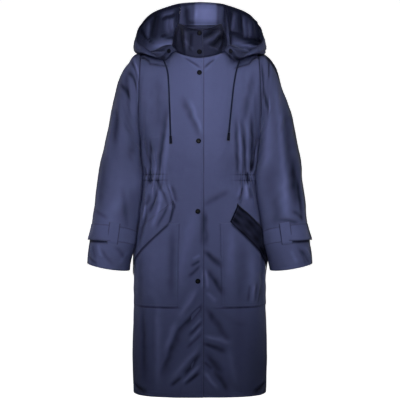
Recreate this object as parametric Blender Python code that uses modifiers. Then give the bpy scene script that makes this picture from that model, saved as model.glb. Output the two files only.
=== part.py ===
"""Hooded parka, worn and hollow: cut-and-sewn cloth panels with a snap placket, a funnel collar, a hood
lying open round the neck, cuff straps, flap pockets and hood drawcords.

Metres, +Z up, the front faces -Y. Names are by the wearer's side: "right" lies at -X.
The origin is the middle of the neck opening, level with the inner ends of the shoulder seams.
"""

import math

import bmesh
import bpy
from mathutils import Matrix, Vector
from mathutils.bvhtree import BVHTree

# ---------------------------------------------------------------- driving sizes
WALL = 0.0018  # one layer of coated cotton with its seam allowances pressed in
SEAM = 0.0003  # clear gap between neighbouring pieces
RIDGE = 0.0008  # the shoulder seam's edges stay this far from its middle, so that their walls clear
ARMHOLE_GAP = 0.0007  # between the middles of the sleeve's edge and of the armhole's
LAY = 0.0006  # clear gap under a piece that lies on another
FLOAT = 0.0048  # the hood's facets stay this far off the shoulders they rest on
HOOD_OFF_COLLAR = 0.0033  # the hood's neck seam, out from the collar
HOOD_OFF_NECK = 0.0030  # the hood's neck seam, above the neckline

ARMPIT_Z = -0.280
SHOULDER_X = 0.181
SHOULDER_Z = -0.014

NECK_HALF_WIDTH = 0.088
NECK_FRONT_Y = -0.090
NECK_BACK_Y = 0.070
NECK_FRONT_Z = -0.035
NECK_BACK_Z = 0.012

ARMHOLE_DEPTH = 0.072  # how far the armhole reaches to the front and to the back
LAP_EDGE = 0.010  # the right front's free edge, past the middle
UNDERLAP = 0.025  # the left front's free edge, past the middle
LAP_FLAT = 0.036  # half width of the doubled placket
LAP_FADE = 0.052  # where the right front lies level with the left again
LAP_RISE = WALL + 0.0010
CALM_FROM, CALM_OVER = 10, 12  # degrees from the middle, where the folds start and reach their full depth
FOLD_ENDS = 0.25  # how far a fold fades out past each end, as a share of its length

COLLAR_TOPS = ((-20, 0.061), (8, 0.061), (45, 0.071), (90, 0.086), (135, 0.096), (180, 0.100))  # turn, z
COLLAR_TOP_SHARE = 0.78  # the collar's width at its top edge against the neckline's
COLLAR_TOP_DEPTH = 0.87
COLLAR_ROUND = 0.03

SNAP_DIAMETER = 0.0155
SNAP_HEIGHT = 0.0032
SNAP_X = -0.003
COLLAR_SNAP_Z = (0.037, -0.020)
FRONT_SNAP_Z = (-0.086, -0.289, -0.499, -0.706)

EYELET_X, EYELET_Z = 0.094, -0.014
EYELET_RADIUS, EYELET_BAR = 0.0042, 0.0014
EYELET_FLAT = 0.6  # its height against a round ring's

CORD_DIAMETER = 0.005
CORD_END_DIAMETER = 0.0085
CORD_END_LENGTH = 0.025
CORD_END_TAPER = 0.66  # the narrow end against the wide one

# The body's section at each height: half width, depth in front and behind, and how square it is.
BODY_SECTIONS = (
    # z, half_width, front_depth, back_depth, squareness
    (-1.048, 0.2040, 0.1480, 0.1360, 2.90),
    (-0.930, 0.2075, 0.1460, 0.1330, 2.85),
    (-0.780, 0.2030, 0.1420, 0.1290, 2.80),
    (-0.640, 0.2020, 0.1380, 0.1260, 2.75),
    (-0.540, 0.1965, 0.1330, 0.1220, 2.70),
    (-0.465, 0.1880, 0.1260, 0.1170, 2.60),
    (-0.394, 0.1785, 0.1190, 0.1120, 2.50),
    (-0.340, 0.1830, 0.1220, 0.1180, 2.50),
    (-0.280, 0.1885, 0.1250, 0.1250, 2.50),
)

# Each fold is a soft trough (depth < 0) or ridge (depth > 0) from its upper to its lower end.
# Angles go round the body from the middle front, to -90 at the right side seam and 90 at the left one.
FRONT_FOLDS = (
    # angle_up, z_up, angle_down, z_down, half_width_deg, depth
    (-70, -0.290, -62, -0.394, 3.6, -0.0055),
    (-60, -0.310, -54, -0.394, 3.4, -0.0045),
    (-56, -0.385, -49, -0.470, 3.4, 0.0050),
    (-66, -0.385, -61, -0.480, 3.4, 0.0050),
    (-77, -0.380, -75, -0.470, 3.8, 0.0045),
    (-61, -0.405, -56, -0.470, 3.0, -0.0045),
    (-60, -0.110, -38, -0.270, 7.0, -0.0050),
    (-6, -0.760, -26, -0.980, 6.0, -0.0050),
    (-2, -0.900, -22, -1.040, 6.0, 0.0040),
    (72, -0.290, 65, -0.394, 3.6, -0.0055),
    (59, -0.310, 56, -0.394, 3.4, -0.0045),
    (50, -0.385, 46, -0.465, 3.4, 0.0050),
    (60, -0.385, 61, -0.475, 3.4, 0.0050),
    (74, -0.380, 78, -0.480, 3.8, 0.0045),
    (55, -0.405, 51, -0.470, 3.0, -0.0045),
    (66, -0.060, 42, -0.260, 7.0, -0.0060),
    (18, -0.780, 40, -0.830, 7.0, 0.0040),
    (14, -0.960, 42, -1.040, 7.0, -0.0050),
)

# The back gathers into the same waist channel, and hangs in long soft folds below it.
# Its angles go from the middle back in the same way.
BACK_FOLDS = (
    # angle_up, z_up, angle_down, z_down, half_width_deg, depth
    (-70, -0.290, -64, -0.394, 3.8, -0.0050),
    (-55, -0.320, -52, -0.394, 3.6, -0.0040),
    (-48, -0.385, -42, -0.480, 3.8, 0.0050),
    (-62, -0.385, -60, -0.480, 3.8, 0.0045),
    (-30, -0.500, -26, -0.960, 7.0, -0.0040),
    (68, -0.290, 62, -0.394, 3.8, -0.0050),
    (53, -0.320, 50, -0.394, 3.6, -0.0040),
    (46, -0.385, 43, -0.480, 3.8, 0.0050),
    (60, -0.385, 62, -0.480, 3.8, 0.0045),
    (22, -0.500, 30, -0.980, 7.0, 0.0040),
)

FRONT_COLUMNS = (13, 19, 24.5, 32, 39, 45, 51, 57, 63, 70, 79, 90)  # degrees, after the first two
NECK_TURNS = (8, 24, 40, 57, 74, 90)  # where columns end on the neckline, the others on the shoulder seam
BACK_COLUMNS = (0, 10, 19, 28, 36, 44, 52, 60, 68, 78, 90)
BACK_NECK_COLUMNS = 4
BODY_ROWS = (
    -1.048, -1.012, -0.960, -0.900, -0.840, -0.784, -0.730, -0.680, -0.630, -0.585,
    -0.545, -0.510, -0.475, -0.440, -0.412, -0.394, -0.376, -0.345, -0.312, -0.280,
)  # fmt: skip
YOKE_ROWS = 8  # rows from the armpit to the shoulder

# The sleeve's outer and inner outline as seen from the front, and its depth from front to back.
SLEEVE_SECTIONS = (
    # outer_x, outer_z, inner_x, inner_z, half_depth, middle_y
    (0.1810, -0.0140, 0.1885, -0.2800, 0.0720, 0.000),
    (0.2010, -0.0191, 0.1890, -0.2881, 0.0735, -0.001),
    (0.2233, -0.0464, 0.1885, -0.2972, 0.0730, -0.003),
    (0.2436, -0.0837, 0.1880, -0.3083, 0.0715, -0.006),
    (0.2556, -0.1301, 0.1904, -0.3235, 0.0690, -0.011),
    (0.2675, -0.1865, 0.1870, -0.3437, 0.0660, -0.018),
    (0.2787, -0.2498, 0.1835, -0.3698, 0.0630, -0.027),
    (0.2908, -0.3097, 0.1820, -0.4027, 0.0600, -0.036),
    (0.3049, -0.3732, 0.1825, -0.4393, 0.0580, -0.044),
    (0.3137, -0.4276, 0.1861, -0.4788, 0.0565, -0.050),
    (0.3212, -0.4798, 0.1908, -0.5201, 0.0555, -0.054),
    (0.3277, -0.5299, 0.1956, -0.5593, 0.0545, -0.057),
    (0.3339, -0.5770, 0.2004, -0.5986, 0.0535, -0.059),
    (0.3392, -0.6182, 0.2062, -0.6378, 0.0525, -0.060),
    (0.3430, -0.6535, 0.2130, -0.6750, 0.0520, -0.061),
)
SLEEVE_HALF_ROUND = YOKE_ROWS  # points round half a sleeve, one for each row of the armhole
SLEEVE_CLEARS = ((-0.70, 0.0115), (-0.52, 0.0115), (-0.43, 0.0040), (-0.28, 0.0035))  # z, gap to the body

# The hood lies open round the collar. Each station is a U-shaped section from the neck seam,
# down over the shoulders or the back, and up to the rim; the four points steer its curve.
HOOD_STATIONS = (
    # neck_angle, low_x, low_y, low_z, belly_x, belly_y, belly_z, rim_x, rim_y, rim_z
    (62, 0.089, -0.056, -0.012, 0.098, -0.066, -0.030, 0.105, -0.070, -0.042),
    (70, 0.103, -0.055, -0.020, 0.128, -0.092, -0.062, 0.126, -0.084, -0.030),
    (77, 0.117, -0.040, -0.022, 0.160, -0.088, -0.064, 0.161, -0.062, -0.005),
    (84, 0.130, -0.020, -0.016, 0.206, -0.054, -0.046, 0.192, -0.030, 0.020),
    (93, 0.138, 0.010, -0.010, 0.232, 0.005, -0.026, 0.198, 0.010, 0.046),
    (104, 0.134, 0.045, -0.016, 0.216, 0.075, -0.045, 0.186, 0.045, 0.078),
    (118, 0.116, 0.084, -0.040, 0.186, 0.142, -0.078, 0.152, 0.087, 0.127),
    (138, 0.078, 0.112, -0.070, 0.124, 0.202, -0.104, 0.083, 0.127, 0.160),
    (158, 0.036, 0.124, -0.086, 0.060, 0.226, -0.114, 0.042, 0.136, 0.168),
    (180, 0.000, 0.128, -0.090, 0.000, 0.232, -0.116, 0.000, 0.139, 0.171),
)
HOOD_SIDE_STEPS = 11
HOOD_CENTRE_STEPS = 3  # on each side of the middle
HOOD_ROWS = 7
HOOD_SEAM_STATION = 7  # where the side panels meet the centre panel

# A slanted flap over each pocket: upper and lower edge, from the inner end to the side seam.
FLAP_ENDS = (
    # angle_upper, z_upper, angle_lower, z_lower
    (44.5, -0.474, 35.5, -0.530),
    (89.2, -0.604, 89.2, -0.697),
)
FLAP_STEPS = 8
FLAP_OFF = 2 * (LAY + WALL) + 0.0012  # how far it lies off the front, over the pocket
POCKET_ANGLES = (24.5, 32, 39, 45, 51, 57, 63, 70, 79, 89.2)
POCKET_BOTTOM_Z = -0.784
POCKET_TOPS = ((24.5, -0.534), (38.0, -0.534), (89.2, -0.650))  # angle and height of its top edge
POCKET_ROWS = 4

# The cuff strap goes round the sleeve between these two shares of the way down it.
STRAP_TOP, STRAP_BOTTOM = 0.7970, 0.8740
STRAP_GAP_TURN = 24  # degrees of the sleeve left free at its inner seam
STRAP_STEPS = 18
STRAP_OFF = WALL + 0.0010  # how far the strap lies off the sleeve, for its facets to clear it
STRAP_STAND = 0.0030  # how much further it stands off on the outer side
STRAP_STAND_TURN = 60  # degrees from the outer side, where it begins to stand off
LOOP_TURN = 88  # degrees round the sleeve, where the strap's carrier loop sits
LOOP_WIDTH_TURN = 22
LOOP_OVER = 0.06  # how far the loop reaches past the strap, as a share of the strap's height
LOOP_OFF = STRAP_OFF + WALL + 0.0011

# Hood drawcords from the casing's tip, down the chest.
CORD_ROUTES = {
    "right": (
        (-0.1098, -0.0768, -0.0417), (-0.1052, -0.0788, -0.0520), (-0.1016, -0.0798, -0.0620),
        (-0.0984, -0.0806, -0.0730), (-0.0962, -0.0822, -0.0860), (-0.0949, -0.0849, -0.1000),
        (-0.0938, -0.0896, -0.1160), (-0.0929, -0.0948, -0.1330), (-0.0920, -0.0993, -0.1510),
        (-0.0912, -0.1035, -0.1700), (-0.0904, -0.1071, -0.1900), (-0.0896, -0.1098, -0.2100),
        (-0.0888, -0.1126, -0.2300), (-0.0880, -0.1156, -0.2500), (-0.0872, -0.1182, -0.2720),
    ),
    "left": (
        (0.1202, -0.0787, -0.0428), (0.1170, -0.0795, -0.0530), (0.1134, -0.0803, -0.0640),
        (0.1104, -0.0812, -0.0760), (0.1076, -0.0828, -0.0900), (0.1050, -0.0858, -0.1050),
        (0.1026, -0.0903, -0.1210), (0.1004, -0.0953, -0.1380), (0.0983, -0.0997, -0.1560),
        (0.0963, -0.1038, -0.1750), (0.0942, -0.1070, -0.1940), (0.0922, -0.1100, -0.2130),
        (0.0903, -0.1130, -0.2320), (0.0888, -0.1158, -0.2490), (0.0876, -0.1180, -0.2630),
    ),
}  # fmt: skip

# Colour, roughness and metallic value of each finish.
FINISHES = {
    "navy_cloth": ((0.050, 0.062, 0.130), 0.55, 0.0),
    "black_enamel": ((0.008, 0.008, 0.010), 0.25, 0.6),
    "navy_cord": ((0.012, 0.014, 0.030), 0.60, 0.0),
}

SIDES = {"right": -1, "left": 1}


# ---------------------------------------------------------------- shape of the body
def mix(a, b, t):
    return a + (b - a) * t


def smooth(t):
    t = min(1.0, max(0.0, t))
    return t * t * (3 - 2 * t)


def table_at(rows, value):
    """The row at this value of the first column, on a smooth curve through the rows."""
    value = min(max(value, rows[0][0]), rows[-1][0])
    for i in range(len(rows) - 1):
        if value <= rows[i + 1][0]:
            break
    before, low, high, after = rows[max(i - 1, 0)], rows[i], rows[i + 1], rows[min(i + 2, len(rows) - 1)]
    span = high[0] - low[0]
    t = (value - low[0]) / span
    found = [value]
    for a, b, c, d in zip(before[1:], low[1:], high[1:], after[1:]):
        slope_low = (c - a) / (high[0] - before[0]) * span
        slope_high = (d - b) / (after[0] - low[0]) * span
        found.append(
            b * (1 + 2 * t) * (1 - t) ** 2 + slope_low * t * (1 - t) ** 2
            + c * t * t * (3 - 2 * t) - slope_high * t * t * (1 - t)
        )
    return found


def line_at(ends, value):
    """The second value of a bent line where its first is this."""
    for (a, at_a), (b, at_b) in zip(ends, ends[1:]):
        if value <= b:
            return mix(at_a, at_b, (value - a) / (b - a))
    return ends[-1][1]


def fold_height(folds, angle, z):
    """How far the folds lift or sink the cloth here, with the angle signed by side.
    The middle stays calm, because the placket is stiff and its layers lie on each other."""
    calm = smooth((abs(angle) - CALM_FROM) / CALM_OVER)
    height = 0.0
    for angle_up, z_up, angle_down, z_down, half_width, depth in folds:
        along = (z_up - z) / (z_up - z_down)
        if not -FOLD_ENDS < along < 1 + FOLD_ENDS:
            continue
        taper = smooth((along + FOLD_ENDS) * 3) * smooth((1 + FOLD_ENDS - along) * 3)
        off = (angle - mix(angle_up, angle_down, along)) / half_width
        height += depth * taper * math.exp(-off * off)
    return height * calm


def lap_rise(x_inward):
    """The right front is doubled over the left one up to this distance from the middle."""
    return LAP_RISE * (1 - smooth((x_inward - LAP_FLAT) / (LAP_FADE - LAP_FLAT)))


def section_point(angle, z, front, lift=0.0):
    """(across, y) on the body's section, with the angle from the middle front or the middle back."""
    _, half_width, front_depth, back_depth, power = table_at(BODY_SECTIONS, z)
    depth = front_depth if front else back_depth
    turn = math.radians(angle)
    reach = (abs(math.sin(turn)) / half_width) ** power + (abs(math.cos(turn)) / depth) ** power
    radius = reach ** (-1 / power) + lift
    return radius * math.sin(turn), (-1 if front else 1) * radius * math.cos(turn)


def neck_point(turn):
    """(across, y, z) of the neckline, turned from the middle front (0) over the side (90) to the back (180)."""
    t = math.radians(turn)
    front = math.cos(t) > 0
    y = (NECK_FRONT_Y if front else -NECK_BACK_Y) * math.cos(t)
    lift = NECK_FRONT_Z if front else NECK_BACK_Z
    return NECK_HALF_WIDTH * math.sin(t), y, lift * abs(math.cos(t)) ** 1.7


def shoulder_point(t):
    """(across, y, z) of the shoulder seam, from the neck (0) to the sleeve (1)."""
    return mix(NECK_HALF_WIDTH, SHOULDER_X, t), 0.0, SHOULDER_Z * t**1.2


def yoke_point(bottom, top, s, share):
    """A point between the armpit row and the neck or shoulder: a roll over the shoulder that turns into
    the armhole's edge as share goes to 1."""
    rise = math.sin(s * math.pi / 2) ** mix(1.0, 2.0, share**3)
    straight = 1 - smooth(share * 2.2) * 0.85
    roll = mix(math.cos(s * math.pi / 2), 1 - rise, straight * 0.8)
    bulge = ARMHOLE_DEPTH * share**4 * math.sin(s * math.pi)
    away = -1 if bottom[1] + top[1] <= 0 else 1
    x = mix(bottom[0], top[0], mix(s * s, rise, share))
    y = mix(top[1], bottom[1], roll) + away * bulge
    return x, y, mix(bottom[2], top[2], rise)


def front_columns(side, z):
    """The angle of each column at this height. The first lies on the free edge."""
    front_depth = table_at(BODY_SECTIONS, z)[2]
    past_middle = LAP_EDGE if side == "right" else UNDERLAP
    edge = -math.degrees(math.atan2(past_middle, front_depth))
    return [edge, 5.0, *FRONT_COLUMNS]


def neck_turns(side):
    """The turns round the neckline at which a front's columns end."""
    past_middle = LAP_EDGE if side == "right" else UNDERLAP
    start = -math.degrees(math.asin(past_middle / NECK_HALF_WIDTH))
    return [start, *NECK_TURNS]


def front_tops(side):
    """Where each column of a front ends: on the neckline, then on the shoulder seam."""
    count = len(FRONT_COLUMNS) + 1 - len(NECK_TURNS)
    shoulder = [shoulder_point((i + 1) / count) for i in range(count)]
    return [neck_point(turn) for turn in neck_turns(side)] + shoulder


def front_rows(side):
    """Rows of (across, y, z), from the hem to the neckline and shoulder."""
    rows = []
    for z in BODY_ROWS:
        row = []
        for angle in front_columns(side, z):
            lift = fold_height(FRONT_FOLDS, SIDES[side] * angle, z)
            across, y = section_point(angle, z, True, lift)
            row.append((across, min(y, -SEAM), z))
        rows.append(row)
    tops = front_tops(side)
    bottoms = rows[-1]
    last = len(tops) - 1
    for step in range(1, YOKE_ROWS + 1):
        s = step / YOKE_ROWS
        row = []
        for column, (bottom, top) in enumerate(zip(bottoms, tops)):
            share = max(0, column - 1) / (last - 1)
            x, y, z = yoke_point(bottom, top, s, share)
            lift = fold_height(FRONT_FOLDS, SIDES[side] * 90 * share, z) * (1 - s)
            row.append((x, min(y - lift, -RIDGE), z))
        rows.append(row)
    if side == "right":
        rows = [[(x, y - lap_rise(x), z) for x, y, z in row] for row in rows]
    return rows


def back_rows():
    """Rows of (x, y, z) across the whole back, from the wearer's right (-X) to the left."""
    rows = []
    for z in BODY_ROWS:
        halves = {}
        for side in SIDES:
            points = []
            for angle in BACK_COLUMNS:
                lift = fold_height(BACK_FOLDS, SIDES[side] * angle, z)
                across, y = section_point(angle, z, False, lift)
                points.append((across, max(y, SEAM), z))
            halves[side] = points
        rows.append(halves)
    shoulder_steps = len(BACK_COLUMNS) - 1 - BACK_NECK_COLUMNS
    tops = [neck_point(180 - 90 * i / BACK_NECK_COLUMNS) for i in range(BACK_NECK_COLUMNS + 1)]
    tops += [shoulder_point((i + 1) / shoulder_steps) for i in range(shoulder_steps)]
    armpit = rows[-1]
    for step in range(1, YOKE_ROWS + 1):
        s = step / YOKE_ROWS
        halves = {}
        for side in SIDES:
            points = []
            for column, (bottom, top) in enumerate(zip(armpit[side], tops)):
                x, y, z = yoke_point(bottom, top, s, column / (len(tops) - 1))
                points.append((x, max(y, RIDGE), z))
            halves[side] = points
        rows.append(halves)
    whole = []
    for halves in rows:
        right = [(-x, y, z) for x, y, z in reversed(halves["right"][1:])]
        whole.append(right + halves["left"])
    return whole


# ---------------------------------------------------------------- building cloth
def material(name):
    found = bpy.data.materials.get(name)
    if found:
        return found
    colour, roughness, metallic = FINISHES[name]
    made = bpy.data.materials.new(name)
    made.use_nodes = True
    shader = made.node_tree.nodes["Principled BSDF"]
    shader.inputs["Base Color"].default_value = (*colour, 1.0)
    shader.inputs["Roughness"].default_value = roughness
    shader.inputs["Metallic"].default_value = metallic
    return made


def link(name, mesh, finish):
    obj = bpy.data.objects.new(name, mesh)
    mesh.materials.append(material(finish))
    collection.objects.link(obj)
    return obj


def sheet(name, rows, finish="navy_cloth", flip=False, ring=False, wall=WALL):
    """A cloth panel: an open surface through the rows, given its wall on the inner side by Solidify."""
    count = len(rows[0])
    bm = bmesh.new()
    grid = [[bm.verts.new(point) for point in row] for row in rows]
    across = count if ring else count - 1
    for lower, upper in zip(grid, grid[1:]):
        for i in range(across):
            j = (i + 1) % count
            corners = [lower[i], lower[j], upper[j], upper[i]]
            bm.faces.new(corners[::-1] if flip else corners)
    mesh = bpy.data.meshes.new(name)
    bm.to_mesh(mesh)
    bm.free()
    mesh.shade_smooth()
    obj = link(name, mesh, finish)
    solidify = obj.modifiers.new("wall", "SOLIDIFY")
    solidify.thickness = wall
    solidify.offset = -1
    solidify.use_quality_normals = True
    return obj


def tree_of(*objects):
    """One search tree over the outer surfaces of these panels."""
    points, faces = [], []
    for obj in objects:
        base = len(points)
        points += [vertex.co.copy() for vertex in obj.data.vertices]
        faces += [[base + i for i in polygon.vertices] for polygon in obj.data.polygons]
    return BVHTree.FromPolygons(points, faces)


def sided(rows, side):
    """Rows of (across, y, z) placed on the wearer's right or left."""
    return [[(SIDES[side] * x, y, z) for x, y, z in row] for row in rows]


def normals_of(rows, outward):
    """The unit normal at each point of a grid of points, turned to the side of outward(point)."""
    result = []
    for i, row in enumerate(rows):
        line = []
        for j, point in enumerate(row):
            along = Vector(row[min(j + 1, len(row) - 1)]) - Vector(row[max(j - 1, 0)])
            up = Vector(rows[min(i + 1, len(rows) - 1)][j]) - Vector(rows[max(i - 1, 0)][j])
            normal = along.cross(up).normalized()
            line.append(normal if normal.dot(outward(Vector(point))) > 0 else -normal)
        result.append(line)
    return result


def moved_out(rows, distance, outward):
    normals = normals_of(rows, outward)
    return [
        [tuple(Vector(p) + n * distance) for p, n in zip(row, line)]
        for row, line in zip(rows, normals)
    ]


def from_axis(point):
    return Vector((point.x, point.y, 0))


# ---------------------------------------------------------------- fronts and back
def make_fronts():
    made = {}
    for side in SIDES:
        rows = sided(front_rows(side), side)
        made[side] = sheet(f"front_{side}", rows, flip=side == "right")
    return made


def make_back():
    return sheet("back", back_rows(), flip=True)


# ---------------------------------------------------------------- sleeves
def body_edge(y, z):
    """Half width of the body at this depth and height, below the armpit."""
    _, half_width, front_depth, back_depth, power = table_at(BODY_SECTIONS, z)
    depth = front_depth if y < 0 else back_depth
    inside = max(0.0, 1 - (abs(y) / depth) ** power)
    return half_width * inside ** (1 / power)


def sleeve_ring(section, count, first=False):
    """Points round the sleeve: from the inner side, over the front, the outer side and the back."""
    outer_x, outer_z, inner_x, inner_z, half_depth, middle_y = section
    ring = []
    for i in range(count):
        turn = 2 * math.pi * i / count
        share = (1 - math.cos(turn)) / 2
        x = mix(inner_x, outer_x, share)
        z = mix(inner_z, outer_z, share)
        y = middle_y - half_depth * math.sin(turn)
        if z < ARMPIT_Z and not first:
            x = max(x, body_edge(y, z) + line_at(SLEEVE_CLEARS, z))
        ring.append((x, y, z))
    return ring


def sleeve_rows():
    count = 2 * SLEEVE_HALF_ROUND
    rows = [sleeve_ring(section, count) for section in SLEEVE_SECTIONS]
    rows[0] = [(x + ARMHOLE_GAP, y, z) for x, y, z in sleeve_ring(SLEEVE_SECTIONS[0], count, True)]
    return rows


def make_sleeves():
    made = {}
    for side in SIDES:
        made[side] = sheet(f"sleeve_{side}", sided(sleeve_rows(), side), flip=side == "left", ring=True)
    return made


# ---------------------------------------------------------------- start
for old in list(bpy.data.objects):
    bpy.data.objects.remove(old)
collection = bpy.data.collections.new("hooded_parka")
bpy.context.scene.collection.children.link(collection)

fronts = make_fronts()
back = make_back()
sleeves = make_sleeves()


# ---------------------------------------------------------------- placing pieces on panels
def spot_on(rows, columns, angle, z):
    """The point of a front panel at this angle and height, on the facets between its grid points."""
    heights = [row[0][2] for row in rows[: len(BODY_ROWS)]]
    i = max(k for k in range(len(heights) - 1) if heights[k] <= z + 1e-9)
    j = max(k for k in range(len(columns) - 1) if columns[k] <= angle + 1e-9)
    up = (z - heights[i]) / (heights[i + 1] - heights[i])
    along = (angle - columns[j]) / (columns[j + 1] - columns[j])
    low = Vector(rows[i][j]).lerp(Vector(rows[i][j + 1]), along)
    high = Vector(rows[i + 1][j]).lerp(Vector(rows[i + 1][j + 1]), along)
    return tuple(low.lerp(high, up))


def make_pockets():
    made = {}
    for side in SIDES:
        rows = front_rows(side)
        columns = front_columns(side, POCKET_BOTTOM_Z)
        grid = []
        for step in range(POCKET_ROWS + 1):
            t = step / POCKET_ROWS
            line = []
            for angle in POCKET_ANGLES:
                z = mix(POCKET_BOTTOM_Z, line_at(POCKET_TOPS, angle), t)
                line.append(spot_on(rows, columns, angle, z))
            grid.append(line)
        grid = moved_out(sided(grid, side), LAY + WALL, from_axis)
        made[side] = sheet(f"pocket_{side}", grid, flip=side == "right")
    return made


def make_flaps():
    made = {}
    for side in SIDES:
        rows = front_rows(side)
        columns = front_columns(side, POCKET_BOTTOM_Z)
        grid = []
        for down in (1.0, 0.5, 0.0):
            line = []
            for step in range(FLAP_STEPS + 1):
                upper_angle, upper_z, lower_angle, lower_z = (
                    mix(a, b, step / FLAP_STEPS) for a, b in zip(*FLAP_ENDS)
                )
                angle, z = mix(upper_angle, lower_angle, down), mix(upper_z, lower_z, down)
                line.append(spot_on(rows, columns, angle, z))
            grid.append(line)
        grid = moved_out(sided(grid, side), FLAP_OFF, from_axis)
        made[side] = sheet(f"flap_{side}", grid, flip=side == "right")
    return made


# ---------------------------------------------------------------- cuff straps
def sleeve_spot(turn, share):
    """(across, y, z) on the sleeve, turned from its inner side over the front, share of the way down."""
    place = share * (len(SLEEVE_SECTIONS) - 1)
    low = min(int(place), len(SLEEVE_SECTIONS) - 2)
    section = [mix(a, b, place - low) for a, b in zip(SLEEVE_SECTIONS[low], SLEEVE_SECTIONS[low + 1])]
    outer_x, outer_z, inner_x, inner_z, half_depth, middle_y = section
    t = math.radians(turn)
    across = (1 - math.cos(t)) / 2
    x, z = mix(inner_x, outer_x, across), mix(inner_z, outer_z, across)
    y = middle_y - half_depth * math.sin(t)
    if z < ARMPIT_Z:
        x = max(x, body_edge(y, z) + line_at(SLEEVE_CLEARS, z))
    return x, y, z


def sleeve_outward(turn, share):
    """The direction straight out of the sleeve."""
    before, after = Vector(sleeve_spot(turn - 4, share)), Vector(sleeve_spot(turn + 4, share))
    above, below = Vector(sleeve_spot(turn, share - 0.03)), Vector(sleeve_spot(turn, share + 0.03))
    return (below - above).cross(after - before).normalized()


def strap_grid(turns, shares, stand):
    grid = []
    for share in shares:
        line = []
        for turn in turns:
            outer = smooth(1.2 * (1 - abs(turn - 180) / STRAP_STAND_TURN))
            point = Vector(sleeve_spot(turn, share))
            line.append(tuple(point + sleeve_outward(turn, share) * (stand + STRAP_STAND * outer)))
        grid.append(line)
    return grid


def make_straps():
    made = {}
    for side in SIDES:
        turns = [mix(STRAP_GAP_TURN, 360 - STRAP_GAP_TURN, i / STRAP_STEPS) for i in range(STRAP_STEPS + 1)]
        shares = [mix(STRAP_BOTTOM, STRAP_TOP, i / 2) for i in range(3)]
        grid = strap_grid(turns, shares, STRAP_OFF)
        made[side] = sheet(f"cuff_strap_{side}", sided(grid, side), flip=side == "right")
    return made


def make_loops():
    made = {}
    for side in SIDES:
        turns = [LOOP_TURN + LOOP_WIDTH_TURN * (i / 3 - 0.5) for i in range(4)]
        reach = (STRAP_BOTTOM - STRAP_TOP) * LOOP_OVER
        stops = (STRAP_BOTTOM + 3 * reach, STRAP_BOTTOM + reach, STRAP_TOP - reach, STRAP_TOP - 3 * reach)
        grid = []
        for share, stand in zip(stops, (STRAP_OFF, LOOP_OFF, LOOP_OFF, STRAP_OFF)):
            grid += strap_grid(turns, [share], stand)
        made[side] = sheet(f"strap_loop_{side}", sided(grid, side), flip=side == "right")
    return made


# ---------------------------------------------------------------- collar
def collar_turns():
    """(side, turn) round the collar, from the right front's free edge to the left front's."""
    right = [("right", turn) for turn in neck_turns("right")]
    back = [180 - 90 * i / BACK_NECK_COLUMNS for i in range(BACK_NECK_COLUMNS)]
    right += [("right", turn) for turn in sorted(back) if turn > 90]
    left = [("left", turn) for turn in back]
    left += [("left", turn) for turn in reversed(neck_turns("left"))]
    return right + left


def collar_point(side, turn, up):
    """A point of the collar: up goes from the neckline (0) to the top edge (1)."""
    x, y, z = neck_point(turn)
    if side == "right":
        outward = Vector((x, y, 0)).normalized() * lap_rise(x)
        x, y = x + outward.x, y + outward.y
    top_z = line_at(COLLAR_TOPS, turn)
    lean = mix(1.0, COLLAR_TOP_SHARE, up) + COLLAR_ROUND * math.sin(math.pi * up)
    return SIDES[side] * x * lean, y * mix(1.0, COLLAR_TOP_DEPTH, up), mix(z + LAY, top_z, up)


def make_collar():
    turns = collar_turns()
    rows = [[collar_point(side, turn, i / 4) for side, turn in turns] for i in range(5)]
    return sheet("collar", rows, flip=True)


# ---------------------------------------------------------------- hood
def hood_station(place):
    """The steering points of the hood's section between the table's rows."""
    indexed = [(i, *row) for i, row in enumerate(HOOD_STATIONS)]
    return table_at(indexed, place)[1:]


def hood_section(place, body):
    """Points of one section, from the neck seam to the rim, lifted clear of the shoulders."""
    neck_angle, *steer = hood_station(place)
    x, y, z = neck_point(neck_angle)
    start = Vector((x, y, z)) + Vector((x, y, 0)).normalized() * HOOD_OFF_COLLAR
    start.z += HOOD_OFF_NECK
    low, belly, rim = (Vector(steer[i : i + 3]) for i in (0, 3, 6))
    points = []
    for step in range(HOOD_ROWS + 1):
        t = step / HOOD_ROWS
        point = start * (1 - t) ** 3 + low * 3 * t * (1 - t) ** 2 + belly * 3 * t * t * (1 - t) + rim * t**3
        spot, normal, _, _ = body.find_nearest(point)
        clear = mix(HOOD_OFF_NECK, FLOAT, min(1.0, 6 * t))
        if (point - spot).dot(normal) < clear:
            point = spot + normal * clear
        points.append(tuple(point))
    return points


def turned_to_rows(sections):
    return [list(row) for row in zip(*sections)]


def make_hood(body):
    made = {}
    seam = HOOD_SEAM_STATION
    for side in SIDES:
        sections = [hood_section(seam * i / HOOD_SIDE_STEPS, body) for i in range(HOOD_SIDE_STEPS + 1)]
        sections[-1] = [(x + SEAM, y, z) for x, y, z in sections[-1]]
        rows = sided(turned_to_rows(sections), side)
        made[side] = sheet(f"hood_{side}", rows, flip=side == "left")
    last = len(HOOD_STATIONS) - 1
    places = [mix(seam, last, i / HOOD_CENTRE_STEPS) for i in range(HOOD_CENTRE_STEPS + 1)]
    half = [hood_section(place, body) for place in places]
    half[0] = [(x - SEAM, y, z) for x, y, z in half[0]]
    right = [[(-x, y, z) for x, y, z in section] for section in half]
    sections = right + half[-2::-1]
    made["centre"] = sheet("hood_centre", turned_to_rows(sections), flip=True)
    return made


# ---------------------------------------------------------------- snaps, eyelets and cords
def turned_to(normal):
    return normal.to_track_quat("Z", "Y").to_matrix().to_4x4()


def facing(tree, x, z):
    """The first spot of these panels met from the front, and its outward direction."""
    spot, normal, _, _ = tree.ray_cast(Vector((x, -1.0, z)), Vector((0, 1, 0)))
    return spot, normal if normal.y < 0 else -normal


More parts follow.
